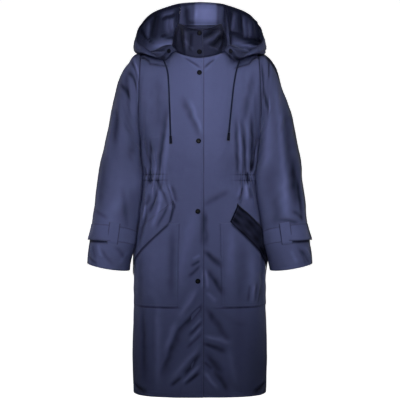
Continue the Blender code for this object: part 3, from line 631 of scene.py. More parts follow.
def stitched(panel, edges, places, puckered=True):
    """Lines of stitches pull the cloth down, and thread drawn tight leaves short ripples across them."""
    height = np.zeros(panel.across.shape)
    shift = unevenness(panel.across, panel.along, 0.05, PUCKER_SEED)
    for edge in edges:
        distance = panel.edge_distance(edge)
        for place in places:
            height -= GROOVE * np.exp(-(((distance - place) / GROOVE_REACH) ** 2))
        if puckered:
            run = panel.across if edge in ("low", "high") else panel.along
            ripple = np.sin(2 * np.pi * run / PUCKER_PACE + 2.2 * shift) * (0.55 + 0.45 * shift)
            near = sum(np.exp(-(((distance - place) / PUCKER_REACH) ** 2)) for place in places)
            height += PUCKER * ripple * np.minimum(near, 1)
    return height


# %% [markdown]
# A drawcord runs inside the waist in a stitched channel. It gathers the sides and leaves the placket flat.
# The channel stands a little proud between its two lines of stitches, and small folds fan out of both.

# %% Gather the waist
WAIST_REACH = 0.020
GATHER_PACES = (0.0125, 0.0079)  # the two spacings of the small folds
CHANNEL_PROUD, CHANNEL_SUNK = 0.0010, 0.0009
GATHERS = {
    # calm_until, full_from, deep, seed
    "front": (0.085, 0.135, 0.0009, 21),
    "back": (0.020, 0.075, 0.0008, 22),
}


def waist_gather(panel, calm_until, full_from, deep, seed):
    """The channel and its gathers, with none up to calm_until from the middle and all from full_from on."""
    across, along = panel.across, panel.along
    pull = smooth((abs(across) - calm_until) / (full_from - calm_until))
    shift = unevenness(across, along * 0.4, 0.060, seed)
    folds = np.sin(2 * np.pi * across / GATHER_PACES[0] + 3.0 * shift)
    folds += 0.6 * np.sin(2 * np.pi * across / GATHER_PACES[1] + 2.0 * shift + 1.0)
    middle = sum(CHANNEL_Z) / 2
    half = (CHANNEL_Z[0] - CHANNEL_Z[1]) / 2
    away = np.maximum(0, abs(along - middle) - half)
    uneven = 0.65 + 0.35 * unevenness(across, 0 * along, 0.05, seed + 1)
    near = np.exp(-((away / WAIST_REACH) ** 1.4)) * pull * uneven
    height = deep * folds * near
    # the gathers get painted shade in their troughs and painted highlight on their ridges
    panel.fold += 0.45 * folds * near
    inside = smooth((half - abs(along - middle)) / 0.004)
    height += CHANNEL_PROUD * inside * pull
    for line in CHANNEL_Z:
        sewn = np.exp(-(((along - line) / 0.0018) ** 2)) * pull
        height -= CHANNEL_SUNK * sewn
        # each line of the channel's stitches gets painted shade
        panel.fold -= 0.6 * sewn
    return height


# %% [markdown]
# Each row below is one crease of the fronts, in millimetres as it shows from the front: where it starts and
# ends (0 across is the middle front, the wearer's right is below zero), its width at both ends and its
# depth, which is above zero on a ridge. A row may end with a bow and a lean to one side. The rows are
# chalked on the coat first: the nearest spot that faces the front gives each end its place on the cloth.

# %% List the creases of the fronts
FRONT_CREASES = (
    # x_from, z_from, x_to, z_to, wide_from, wide_to, depth
    (-50, -165, 0, -270, 9, 8, -1.4, 0, 0.2),
    (-30, -170, 5, -260, 8, 8, 1.1),
    (-45, -35, 0, -65, 3, 3, -2.2),
    (-60, -20, 0, -75, 4, 4, 0.6),
    (45, -40, 15, -65, 3, 3, -2.0),
    (60, -25, 15, -75, 4, 4, 0.5),
    (-190, -30, -150, -50, 3, 3, -3.5),
    (-150, -50, -95, -60, 3, 3, -3.5),
    (190, -30, 150, -50, 3, 3, -3.5),
    (150, -50, 105, -65, 3, 3, -3.0),
    (165, -85, 135, -225, 13, 11, -3.0, 2),
    (130, -235, 140, -395, 8, 5, -2.2),
    (155, -220, 155, -395, 7, 5, -2.2),
    (110, -225, 115, -395, 7, 5, -1.4),
    (140, -240, 145, -395, 7, 5, 1.4),
    (120, -240, 125, -395, 5, 4, 1.3),
    (170, -300, 160, -380, 5, 5, -1.8),
    (-130, -95, -125, -260, 26, 23, -3.0),
    (-150, -290, -150, -395, 5, 5, -1.6),
    (-100, -195, -125, -395, 9, 5, -1.6, -2, 0.3),
    (-90, -205, -110, -395, 9, 7, 1.1, -2),
    (-135, -315, -135, -395, 7, 5, 1.3),
    # small folds fan out below the waist on the wearer's right
    (-135, -395, -145, -460, 5, 8, 2.0),
    (-120, -435, -115, -470, 5, 7, 1.4),
    (-100, -415, -75, -470, 5, 8, 2.0),
    (-110, -435, -90, -485, 5, 7, -1.8),
    (-85, -425, -70, -470, 5, 7, -1.4),
    (-130, -400, -115, -435, 5, 5, -2.0),
    (-150, -445, -165, -485, 5, 8, -1.4),
    (-170, -365, -160, -395, 4, 3, -4.0),
    (-155, -395, -150, -415, 3, 4, -4.0),
    (-150, -380, -145, -410, 3, 3, -3.0),
    (-100, -415, -75, -485, 3, 3, -3.2),
    (-110, -425, -85, -490, 5, 5, 2.3),
    (-75, -485, -90, -530, 3, 3, -3.0),
    (-130, -440, -150, -500, 5, 6, -2.2),
    (-115, -470, -140, -540, 5, 6, 2.2),
    (-95, -485, -125, -545, 4, 5, -2.0),
    (-160, -500, -180, -600, 6, 8, -1.8),
    (-165, -480, -170, -520, 4, 5, 1.8),
    # and on the wearer's left
    (145, -380, 150, -410, 3, 3, -4.0),
    (155, -345, 155, -400, 3, 4, -3.0),
    (125, -415, 115, -455, 5, 7, 1.8),
    (140, -415, 140, -460, 5, 7, 1.8),
    (160, -380, 160, -405, 5, 5, 1.4),
    (130, -425, 120, -465, 5, 7, -1.8),
    (145, -380, 145, -420, 4, 4, -2.3),
    (150, -425, 155, -460, 5, 7, -1.4),
    (85, -440, 15, -480, 9, 8, -1.0, 2),
    # long soft folds run down from the waist, and short ones come off the snaps
    (-15, -510, -65, -735, 15, 18, 2.0, 3),
    (-80, -560, -85, -750, 10, 12, -2.2),
    (-140, -620, -140, -780, 22, 22, 0.7),
    (-180, -640, -180, -780, 12, 12, -1.6),
    (130, -600, 125, -780, 16, 18, -2.4),
    (160, -640, 160, -780, 13, 13, 1.6),
    (190, -600, 188, -780, 10, 10, -2.6),
    (95, -560, 90, -700, 12, 14, 1.4),
    (15, -500, 20, -600, 7, 8, -1.3),
    (15, -620, 65, -665, 6, 8, -3.0),
    (15, -675, 25, -725, 5, 5, 3.0),
    (25, -675, 70, -745, 7, 8, -2.3, 0, -0.3),
    (20, -740, 50, -765, 5, 7, 1.4),
    (0, -645, -25, -660, 4, 5, -1.6),
    (0, -665, -30, -690, 4, 5, -1.4),
    (0, -630, -20, -640, 4, 4, 1.1),
    # the pocket's lower seam shows through the cloth as a narrow trough, with painted shade in it
    (-185, -787, -65, -787, 2, 2, -1.8),
    (55, -787, 185, -787, 2, 2, -1.8),
    (150, -720, 145, -770, 4, 4, -1.6),
    (170, -715, 165, -770, 5, 5, -1.8),
    (185, -725, 175, -775, 5, 5, -2.2),
    (160, -720, 155, -770, 4, 4, 1.3),
    # the lowest snap and the bar tack draw folds into the skirt on both sides
    (-10, -735, -60, -820, 10, 11, 3.4),
    (-70, -830, -105, -915, 8, 10, 2.2),
    (5, -780, -60, -855, 5, 8, -4.0, 1, -0.55),
    (-60, -855, -115, -985, 8, 11, -4.2, -1, -0.55),
    (5, -815, -25, -850, 4, 4, 1.6),
    (5, -830, -30, -865, 3, 4, -1.3),
    (5, -845, -30, -880, 4, 4, 1.6),
    (5, -865, -35, -900, 4, 4, -1.1),
    (0, -900, -85, -1000, 8, 10, 3.8, 1),
    (0, -925, -45, -985, 6, 8, -2.5),
    (0, -955, -50, -1005, 5, 6, 3.2),
    (0, -975, -40, -1010, 5, 5, -1.8),
    (-55, -990, -85, -1015, 5, 5, -1.6),
    (15, -870, 90, -890, 5, 8, 3.4, -1),
    (20, -790, 85, -880, 8, 11, -3.2),
    (15, -890, 80, -915, 5, 9, -2.5),
    (20, -925, 65, -975, 8, 10, -1.8),
    (15, -975, 50, -1025, 6, 6, 3.2),
    (45, -975, 85, -1025, 7, 8, -2.3),
    (15, -945, 35, -965, 4, 5, -1.3),
    (-125, -790, -125, -1015, 11, 11, 2.2),
    (-170, -800, -165, -1000, 9, 12, -1.8),
    (115, -790, 115, -1015, 18, 24, -0.9),
    (85, -915, 110, -1015, 8, 11, 0.9),
    (-195, -1020, -165, -1045, 6, 9, -5.0),
    (195, -1020, 165, -1045, 6, 8, -4.5),
)
BACK_CREASES = (
    # x_from, z_from, x_to, z_to, wide_from, wide_to, depth. Below zero is still the wearer's right.
    (-150, -60, -110, -230, 14, 11, -2.6, 3),
    (140, -50, 120, -240, 13, 12, -2.4, -2),
    (-40, -95, 35, -105, 10, 12, 1.6, 4),
    (-60, -150, -85, -330, 12, 9, -1.6, -3),
    (70, -180, 80, -370, 10, 8, -1.8, 2),
    (-120, -240, -125, -395, 7, 5, -2.2),
    (-100, -300, -105, -395, 6, 5, 1.6),
    (-55, -320, -60, -395, 6, 5, -1.6),
    (45, -310, 50, -395, 7, 5, -1.8),
    (105, -270, 100, -395, 6, 5, 1.8),
    (130, -260, 125, -395, 7, 5, -2.4),
    (-125, -405, -135, -480, 5, 8, 2.0),
    (-95, -405, -90, -465, 5, 7, -2.0),
    (-65, -410, -50, -480, 5, 8, 1.8),
    (60, -405, 50, -475, 5, 7, -2.0),
    (85, -410, 85, -465, 5, 7, 2.0),
    (120, -405, 135, -485, 5, 8, -2.2),
    (-95, -520, -105, -800, 16, 20, 2.2, 4),
    (60, -540, 80, -860, 15, 22, -2.0, -5),
    (-20, -620, -30, -1000, 18, 24, 1.6, 6),
    (135, -660, 130, -1010, 12, 18, 2.2, 3),
    (-150, -700, -155, -1010, 11, 16, -2.2),
    (30, -820, 35, -1020, 10, 16, -1.6),
)

# %% Fold the fronts and the back
# The cloth swells a little over the middle: one very broad ridge, given on the cloth in metres. A panel's
# edges are named as seen from outside with the hem down. So the free edge of the left front is its "left"
# edge, that of the right front is its "right" one, and the side seam is at the other edge.
BELLY = (0.0, -0.300, 0.0, -0.480, 0.0, 0.100, 0.100, 0.0045, 0)


def fold_front(side):
    panel = fronts[side]
    height = crease_height(panel, [BELLY, *chalked(panel, FRONT_CREASES)])
    height = level_seams(panel, height, (OTHER[side],))
    height += waist_gather(panel, *GATHERS["front"])
    height += drift(panel, (0.00035, 0.060, 31), (0.00010, 0.014, 32))
    height += sunk_edges(panel, (OTHER[side], "high")) + rolled_edges(panel, (side, "low"))
    height += stitched(panel, ("low",), HEM_STITCHES)
    if side == "right":
        height += stitched(panel, (side,), (PLACKET_STITCH,), puckered=False)
    else:
        # the other front lies over this one, and its shade along the edge is painted in
        beyond = panel.across - LAP_EDGE - LAP_SHADE_OFF
        panel.fold -= LAP_SHADE * np.exp(-((beyond / LAP_SHADE_REACH) ** 2))
    panel.raised(height)


for side in SIDES:
    fold_front(side)
height = waist_gather(back, *GATHERS["back"])
height += level_seams(back, crease_height(back, chalked(back, BACK_CREASES, back=True)), ("left", "right"))
height += drift(back, (0.0006, 0.080, 33), (0.00012, 0.016, 34))
height += sunk_edges(back, ("left", "right", "high")) + rolled_edges(back, ("low",))
height += stitched(back, ("low",), HEM_STITCHES)
back.raised(height)
print("creases:", len(FRONT_CREASES), "in front,", len(BACK_CREASES), "behind")

# %% Fold the sleeves
# The sleeve swells along its outer side: from and to, down the cloth from the shoulder, and how far.
SWELL_WIDTH = 0.052
SLEEVE_SWELLS = {
    "right": ((0.000, 0.080, 0.0030), (0.120, 0.420, 0.0045)),
    "left": ((0.020, 0.130, 0.0045), (0.200, 0.390, 0.0125), (0.400, 0.480, 0.0030)),
}
SLEEVE_CREASES = {
    "right": (
        # x_from, z_from, x_to, z_to, wide_from, wide_to, depth
        (-210, -45, -190, -105, 5, 5, -3.0),
        (-220, -75, -190, -130, 4, 5, -2.4),
        (-200, -45, -185, -95, 5, 5, 1.8),
        (-240, -120, -210, -155, 6, 8, -3.0),
        (-225, -85, -215, -150, 14, 16, -2.4),
        (-215, -155, -205, -275, 21, 21, -3.8),
        (-250, -200, -260, -290, 8, 10, -1.8),
        (-200, -60, -185, -150, 5, 5, 1.1),
        (-190, -150, -190, -170, 5, 5, 1.4),
        (-185, -360, -275, -525, 18, 18, 1.6, 2),
        (-190, -430, -240, -520, 13, 13, -1.4),
        (-245, -545, -210, -585, 5, 5, -1.1),
        (-255, -160, -285, -345, 12, 13, 1.3),
        (-200, -285, -215, -345, 9, 9, -1.1),
        (-335, -635, -310, -655, 4, 4, -1.1),
        (-320, -600, -315, -640, 4, 4, -0.8),
        (-305, -600, -295, -635, 4, 5, 0.8),
        (-295, -615, -265, -655, 5, 5, -0.8),
        (-250, -605, -225, -640, 5, 5, -0.9),
        (-240, -655, -215, -620, 5, 5, 0.7),
        (-315, -495, -280, -520, 5, 5, -0.8),
        (-230, -435, -220, -545, 5, 5, -0.8),
        (-285, -345, -300, -480, 11, 11, -0.9),
    ),
    "left": (
        # x_from, z_from, x_to, z_to, wide_from, wide_to, depth
        (190, -50, 195, -155, 7, 8, -2.3),
        (195, -150, 210, -195, 7, 7, -2.2),
        (210, -45, 210, -95, 5, 5, -2.0),
        (205, -30, 245, -98, 6, 7, -5.0),
        (255, -190, 285, -450, 12, 13, -1.8),
        (230, -130, 255, -465, 12, 12, 2.0),
        (245, -95, 275, -190, 7, 7, -2.4),
        (280, -185, 305, -315, 5, 7, 1.3),
        (210, -160, 215, -195, 5, 5, 1.8),
        (255, -395, 260, -515, 12, 12, 1.8),
        (215, -360, 215, -465, 12, 12, -0.9),
        (240, -525, 295, -530, 5, 5, -1.3),
        (205, -225, 200, -370, 12, 12, 1.6),
        (280, -345, 290, -480, 9, 11, -1.8),
        (230, -455, 230, -540, 9, 9, -1.2),
        (305, -615, 330, -655, 4, 4, -1.1),
        (295, -605, 320, -660, 4, 4, -0.8),
        (315, -605, 335, -635, 4, 4, 0.8),
        (275, -615, 290, -655, 5, 5, 0.7),
        (280, -500, 310, -525, 5, 5, -1.4),
        (295, -405, 305, -515, 5, 5, -1.6),
    ),
}
# The backs of the sleeves crease much as their fronts do. Given for the left, and mirrored for the right.
SLEEVE_BACK_CREASES = (
    (200, -60, 195, -170, 8, 9, -2.4),
    (215, -50, 225, -130, 6, 7, -2.0),
    (235, -120, 210, -200, 8, 9, 2.0),
    (225, -210, 215, -330, 18, 16, -2.8),
    (255, -230, 275, -420, 12, 13, 1.8),
    (205, -330, 240, -450, 9, 11, -1.8),
    (270, -400, 290, -540, 11, 12, -1.8),
    (225, -440, 235, -560, 10, 11, 1.8),
    (250, -560, 300, -570, 6, 6, -1.4),
    (230, -610, 245, -655, 5, 5, -0.9),
    (290, -605, 310, -650, 5, 5, 0.8),
)
STRAP_OUTER = (140, 65)  # where the strap stands off: the middle and the reach of that part, in degrees
STRAP_TOP, STRAP_BOTTOM = 0.7970, 0.8740
STRAP_GAP_TURN = 24
# The strap rides higher at the front of the sleeve: its shift up the sleeve, by how far round it is.
STRAP_RISE = ((0, 0.004), (30, 0.008), (60, 0.018), (90, 0.021), (120, 0.014), (180, 0.0), (360, 0.0))


def strap_gap(turn):
    """How much the strap stands off the sleeve here, from 0 to 1."""
    return smooth(1.4 * (1 - abs(turn - STRAP_OUTER[0]) / STRAP_OUTER[1]))


def strap_shade(panel):
    """The strap's lower edge keeps the light off a strip of the sleeve, and that shade is painted in."""
    turn = abs(panel.across) / SLEEVE_GIRTH * 360
    line = (STRAP_BOTTOM - np.interp(turn, *zip(*STRAP_RISE))) * SLEEVE_LENGTH
    return 2.0 * strap_gap(turn) * np.exp(-(((panel.along - line - 0.0020) / 0.0050) ** 2))


# The sleeve's outer side bends sharply and gets a line of painted shade: where, how wide in degrees, and how
# dark.
OUTER_SHADE_LINE = {"right": (170, 9, 0.7), "left": (168, 12, 1.1)}
SLEEVE_SHADE = {"right": 0.06, "left": 0.12}  # an even painted shade over each sleeve, so that it sits darker than the fronts


def fold_sleeve(side):
    panel = sleeves[side]
    outer = SIDES[side] * SLEEVE_GIRTH / 2
    swells = [
        (outer, top, outer, bottom, 0, SWELL_WIDTH, SWELL_WIDTH, deep, 0)
        for top, bottom, deep in SLEEVE_SWELLS[side]
    ]
    behind = [(SIDES[side] * row[0], row[1], SIDES[side] * row[2], *row[3:]) for row in SLEEVE_BACK_CREASES]
    creases = [*swells, *chalked(panel, SLEEVE_CREASES[side]), *chalked(panel, behind, back=True)]
    height = crease_height(panel, creases)
    height += drift(panel, (0.0006, 0.060, 41 + len(side)), (0.00012, 0.015, 43))
    # the cuff's lower edge gets a painted line of shade
    shaded_edges(panel, ("low",), 0.5)
    # painted shade under the strap, and an even painted shade over the whole sleeve
    panel.fold -= strap_shade(panel) + SLEEVE_SHADE[side]
    # a line of painted shade along the outer side
    middle, reach, much = OUTER_SHADE_LINE[side]
    panel.fold -= much * np.exp(-(((abs(panel.across) / SLEEVE_GIRTH * 360 - middle) / reach) ** 2))
    height += sunk_edges(panel, ("high",)) + rolled_edges(panel, ("low",))
    height += stitched(panel, ("low",), (CUFF_STITCH,))
    panel.raised(height)


for side in SIDES:
    fold_sleeve(side)
    print(side, "sleeve's creases:", len(SLEEVE_CREASES[side]), "and behind:", len(SLEEVE_BACK_CREASES))

# %% [markdown]
# ## From panels to pieces
#
# A panel becomes a piece when its points are joined into four-sided faces and Solidify gives it the cloth's
# thickness on the inner side. The cloth coordinates become its UV map, in metres, so the weave of every
# piece has one scale. Each point also keeps two numbers: how rubbed it is, and its painted shading, which
# darkens the colour as painted shade in some places and lightens it as painted highlight in others.

# %% Make a piece from a panel
CLOTH = 0.0011
WORN = 0.004  # how far from an edge the cloth is rubbed
ALL_EDGES = ("low", "high", "left", "right")
made = {}


def link(obj):
    bpy.context.scene.collection.objects.link(obj)
    bpy.ops.object.select_all(action="DESELECT")
    bpy.context.view_layer.objects.active = obj
    obj.select_set(True)
    return obj


def face_out(fill=False):
    """Turns the faces of the active piece outwards, after its open ends are filled if asked."""
    bpy.ops.object.mode_set(mode="EDIT")
    bpy.ops.mesh.select_all(action="SELECT")
    if fill:
        bpy.ops.mesh.fill_holes(sides=0)
    bpy.ops.mesh.normals_make_consistent(inside=False)
    bpy.ops.object.mode_set(mode="OBJECT")


def grid_mesh(name, points, across, along, ring=False, **marks):
    rows, columns = across.shape
    index = np.arange(rows * columns).reshape(rows, columns)
    if ring:
        index = np.concatenate([index, index[:, :1]], 1)
        step = np.diff(across, axis=1)[:, -1:]
        across = np.concatenate([across, across[:, -1:] + step], 1)
        along = np.concatenate([along, along[:, :1]], 1)
    corners = np.stack([index[:-1, :-1], index[:-1, 1:], index[1:, 1:], index[1:, :-1]], -1).reshape(-1, 4)
    mesh = bpy.data.meshes.new(name)
    mesh.from_pydata(points.reshape(-1, 3), [], corners.tolist())
    flat = np.stack([across, along], -1)
    places = np.stack([flat[:-1, :-1], flat[:-1, 1:], flat[1:, 1:], flat[1:, :-1]], 2).reshape(-1)
    mesh.uv_layers.new(name="cloth").data.foreach_set("uv", places.astype(np.float32))
    for mark, values in marks.items():
        data = mesh.attributes.new(mark, "FLOAT", "POINT").data
        data.foreach_set("value", values.reshape(-1).astype(np.float32))
    mesh.shade_smooth()
    return mesh


def worn_edges(panel, edges):
    wear = np.zeros(panel.across.shape)
    for edge in edges:
        wear = np.maximum(wear, np.exp(-panel.edge_distance(edge) / WORN))
    return wear


def cloth_piece(name, panel, far_shading=1.0):
    """A shell of cloth. The points of its far face come last, and its painted shading keeps this share there.
    """
    wear = worn_edges(panel, ("low", "high") if panel.ring else ALL_EDGES)
    mesh = grid_mesh(name, panel.points, panel.across, panel.along, panel.ring, wear=wear, fold=panel.fold)
    obj = link(bpy.data.objects.new(name, mesh))
    solidify = obj.modifiers.new("cloth", "SOLIDIFY")
    solidify.thickness, solidify.offset = CLOTH, -1
    bpy.ops.object.modifier_apply(modifier="cloth")
    # the far face keeps only a share of the painted shading
    marks = obj.data.attributes["fold"].data
    values = np.empty(len(marks), np.float32)
    marks.foreach_get("value", values)
    values[panel.across.size :] *= far_shading
    marks.foreach_set("value", values)
    made[name] = obj


for side in SIDES:
    cloth_piece(f"cloth_front_{side}", fronts[side])
    cloth_piece(f"cloth_sleeve_{side}", sleeves[side])
cloth_piece("cloth_back", back)
print("faces:", {name: len(obj.data.polygons) for name, obj in made.items()})

# %% [markdown]
# ## Collar and hood
#
# The collar is one curved band that leans in towards its top. The hood lies open round it: every section
# runs from the neck seam down over the shoulder or the back, and up again to the rim. Draping a flat hood
# would need luck; steering a curve through four points gives the shape that is wanted, and a search tree
# keeps it clear of the shoulders.

# %% Shape the collar
COLLAR_TOPS = ((-20, 0.052), (8, 0.052), (30, 0.059), (60, 0.074), (90, 0.080), (135, 0.085), (180, 0.087))
COLLAR_TOP_SHARE, COLLAR_TOP_DEPTH, COLLAR_ROUND = 0.78, 0.87, 0.03
COLLAR_STITCH = (0.0065,)
COLLAR_LENGTH, COLLAR_HEIGHT = 0.56, 0.105
COLLAR_LAP = (20, 75)  # it lies over the other end up to here, then comes back, in degrees
LAY = 0.0006  # its lower edge lies this much above the neckline


def collar_panel():
    ends = [np.degrees(np.arcsin(past / NECK_HALF_WIDTH)) for past in (LAP_EDGE, UNDERLAP)]
    places = spaced(COLLAR_LENGTH, 0.0036, COLLAR_STITCH) / COLLAR_LENGTH
    heights = spaced(COLLAR_HEIGHT, 0.0034) / COLLAR_HEIGHT
    up, turn = np.meshgrid(heights, mix(360 + ends[1], -ends[0], places), indexing="ij")
    x, y, z = np.moveaxis(neck_point(turn), -1, 0)
    half = np.minimum(turn, 360 - turn)
    lap = LAP_RISE * (1 - smooth((turn - COLLAR_LAP[0]) / (COLLAR_LAP[1] - COLLAR_LAP[0])))
    reach = np.hypot(x, y)
    x, y = x * (1 + lap / reach), y * (1 + lap / reach)
    lean = mix(1.0, COLLAR_TOP_SHARE, up) + COLLAR_ROUND * np.sin(np.pi * up)
    y = y * mix(1.0, COLLAR_TOP_DEPTH, up)
    points = np.stack([-x * lean, y, mix(z + LAY, table_at(COLLAR_TOPS, half)[0], up)], -1)
    lengths = row_lengths(points)
    return Panel(points, lengths - lengths[:, -1:], climb(points))


COLLAR_CREASES = (
    # x_from, z_from, x_to, z_to, wide_from, wide_to, depth
    (-60, 60, -55, -12, 10, 8, -5.0),
    (74, 60, 68, -5, 7, 6, -5.0),
    (-50, 58, 0, 50, 4, 4, -2.1),
    (15, 50, 62, 58, 4, 4, -2.1),
    (60, 52, 14, 8, 5, 7, 4.5),
    (46, 50, 10, 26, 5, 5, -3.5),
    (72, 42, 38, 0, 6, 6, -4.0),
    (-42, 48, -40, -10, 5, 5, 2.9),
    (-27, 40, -30, -10, 5, 5, -2.6),
    (30, 0, 55, -10, 4, 5, 2.4),
    (-44, 20, -20, -12, 4, 5, 1.6),
)
COLLAR_BACK_CREASES = ((50, 79, -35, 79, 4, 4, 4.5), (35, 70, -20, 70, 3, 3, -3.0))
collar = collar_panel()
creases = chalked(collar, COLLAR_CREASES) + chalked(collar, COLLAR_BACK_CREASES, back=True)
height = crease_height(collar, creases)
height += drift(collar, (0.0004, 0.050, 51), (0.0001, 0.014, 52))
# the sewn lower edge and the top edge get painted lines of shade
height += rolled_edges(collar, ("left", "right", "high")) + sunk_edges(collar, ("low",))
shaded_edges(collar, ("high",))
height += stitched(collar, ("high",), COLLAR_STITCH)
height += stitched(collar, ("right",), COLLAR_STITCH, puckered=False)
collar.raised(height)
cloth_piece("cloth_collar", collar)

# %% Shape the hood
HOOD_STATIONS = (
    # neck_angle, low_x, low_y, low_z, belly_x, belly_y, belly_z, rim_x, rim_y, rim_z
    (48, 0.072, -0.072, -0.004, 0.086, -0.076, -0.020, 0.094, -0.078, -0.034),
    (60, 0.083, -0.078, 0.026, 0.098, -0.082, -0.022, 0.107, -0.075, -0.043),
    (69, 0.093, -0.078, 0.040, 0.128, -0.094, -0.062, 0.126, -0.084, -0.030),
    (77, 0.108, -0.060, 0.034, 0.160, -0.088, -0.064, 0.161, -0.062, -0.005),
    (84, 0.124, -0.032, 0.014, 0.210, -0.054, -0.054, 0.190, -0.030, 0.020),
    (93, 0.136, 0.004, -0.004, 0.236, 0.005, -0.050, 0.196, 0.010, 0.048),
    (104, 0.134, 0.045, -0.016, 0.216, 0.075, -0.045, 0.189, 0.050, 0.082),
    (118, 0.116, 0.084, -0.040, 0.186, 0.140, -0.078, 0.154, 0.102, 0.132),
    (138, 0.078, 0.112, -0.070, 0.124, 0.188, -0.104, 0.085, 0.150, 0.168),
    (158, 0.036, 0.124, -0.086, 0.060, 0.205, -0.114, 0.043, 0.168, 0.178),
    (180, 0.000, 0.128, -0.090, 0.000, 0.208, -0.116, 0.000, 0.172, 0.181),
)
HOOD_SEAM_STATIONS = {"right": 8.5, "left": 8.0}
HOOD_OFF_COLLAR, HOOD_OFF_NECK, HOOD_FLOAT = 0.0033, 0.0030, 0.0042
HOOD_ROWS, HOOD_SIDE_COLUMNS, HOOD_CENTRE_COLUMNS = 64, 96, 30
HOOD_RUN = 0.19  # about how far the cloth runs from the neck seam to the rim
HOOD_EASE = 0.002  # a point is eased off from this far outside its clearance
CASING, CASING_PROUD = 0.022, 0.0008
CASING_STITCHES = (CASING - 0.0020, CASING - 0.0065)


def tree_of(*objects):
    points, faces = [], []
    for obj in objects:
        base = len(points)
        points += [vertex.co.copy() for vertex in obj.data.vertices]
        faces += [[base + i for i in polygon.vertices] for polygon in obj.data.polygons]
    return BVHTree.FromPolygons(points, faces)


def hood_points(places, body):
    """Sections by rows of points, from the neck seam to the rim."""
    stations = [(i, *row) for i, row in enumerate(HOOD_STATIONS)]
    neck_angle, *steer = table_at(stations, places)
    neck = neck_point(neck_angle)
    outward = neck * (1, 1, 0) / np.linalg.norm(neck * (1, 1, 0), axis=-1, keepdims=True)
    start = neck + outward * HOOD_OFF_COLLAR + (0, 0, HOOD_OFF_NECK)
    low, belly, rim = (np.stack(steer[i : i + 3], -1) for i in (0, 3, 6))
    edge = 1 - np.array([*EDGE_STEPS, *CASING_STITCHES, CASING - 0.0007, CASING + 0.0007]) / HOOD_RUN
    rows = np.unique(np.concatenate([np.linspace(0, 1, HOOD_ROWS), edge]))
    t = rows[:, None, None]
    points = start * (1 - t) ** 3 + 3 * low * t * (1 - t) ** 2 + 3 * belly * t * t * (1 - t) + rim * t**3
    clear = mix(HOOD_OFF_NECK, HOOD_FLOAT, np.minimum(1, 6 * rows))
    for row, floating in zip(points, clear):
        for point in row:
            spot, normal, _, _ = body.find_nearest(Vector(point))
            lack = floating - (Vector(point) - spot).dot(normal)
            if lack > -HOOD_EASE:
                push = (HOOD_EASE + lack) ** 2 / (4 * HOOD_EASE) if lack < HOOD_EASE else lack
                point += np.array(normal) * push
    return points


# Rows run from the neck seam to the rim, and columns round the neck.
body = tree_of(*made.values())
hoods = {}
for side, seam in HOOD_SEAM_STATIONS.items():
    hoods[side] = measured(hood_points(np.linspace(0, seam, HOOD_SIDE_COLUMNS), body)[:, ::-1])
hoods["right"] = hoods["right"].mirrored()
rights, lefts = (
    np.linspace(HOOD_SEAM_STATIONS[side], len(HOOD_STATIONS) - 1, HOOD_CENTRE_COLUMNS) for side in SIDES
)
half_right = hood_points(rights, body) * (-1, 1, 1)
hoods["centre"] = measured(np.concatenate([half_right, hood_points(lefts, body)[:, -2::-1]], 1))
print("hood grids:", {key: panel.across.shape for key, panel in hoods.items()})

# %% Fold the hood
HOOD_CREASES = {
    "right": (
        # x_from, z_from, x_to, z_to, wide_from, wide_to, depth
        (-135, 140, -150, 55, 11, 14, -5.3),
        (-105, 124, -105, 78, 8, 8, 5.3),
        (-90, 128, -90, 84, 7, 7, 5.3),
        (-120, 133, -85, 146, 5, 5, 3.0),
        (-118, 122, -82, 135, 3, 3, -4.0),
        (-125, 62, -80, 62, 4, 5, -5.3),
        (-165, 98, -168, 45, 9, 9, 4.0),
        (-185, 75, -146, 38, 4, 4, -5.3, 1),
        (-150, 30, -85, 42, 7, 7, 3.5),
        (-70, 145, -70, 108, 9, 9, -5.3),
        (-78, 95, -76, 32, 8, 7, -5.3),
        (-150, 0, -110, -10, 3, 3, -3.5),
        (-175, 5, -120, -20, 4, 4, 2.8),
        (-103, 29, -100, 2, 4, 4, 2.4),
    ),
    "left": (
        (143, 118, 147, 58, 7, 7, 5.3),
        (157, 105, 161, 55, 7, 7, 5.3),
        (126, 140, 127, 78, 6, 6, -5.3),
        (108, 133, 108, 85, 6, 6, 2.4),
        (94, 150, 92, 100, 9, 9, -5.3),
        (84, 95, 80, 30, 7, 7, -5.3),
        (95, 75, 136, 65, 4, 4, -5.3),
        (132, 55, 132, -15, 4, 4, -5.3),
        (112, 45, 118, -8, 5, 5, 3.4),
        (143, 40, 190, 25, 4, 4, -5.3),
        (155, 30, 193, 12, 3, 3, 4.0),
        (152, 15, 196, 3, 4, 4, -5.0),
        (180, 100, 188, 42, 8, 8, -5.3),
        (145, 20, 155, -5, 4, 4, 2.9),
        (96, 40, 101, 10, 4, 5, 2.4),
    ),
    "centre": (
        (-44, 165, -40, 108, 9, 10, -4.6),
        (80, 164, 80, 112, 7, 8, -5.3),
        (78, 108, 77, 30, 9, 9, -5.3),
        (-60, 105, -62, 40, 8, 8, -5.3),
        (15, 168, 18, 120, 26, 24, 5.0),
        (-30, 112, 60, 112, 5, 5, -2.4),
        (-10, 154, -15, 125, 5, 5, 1.2),
    ),
}
HOOD_LIT = (0.019, 0.036)  # the painted highlight on the centre panel: its middle and its half width


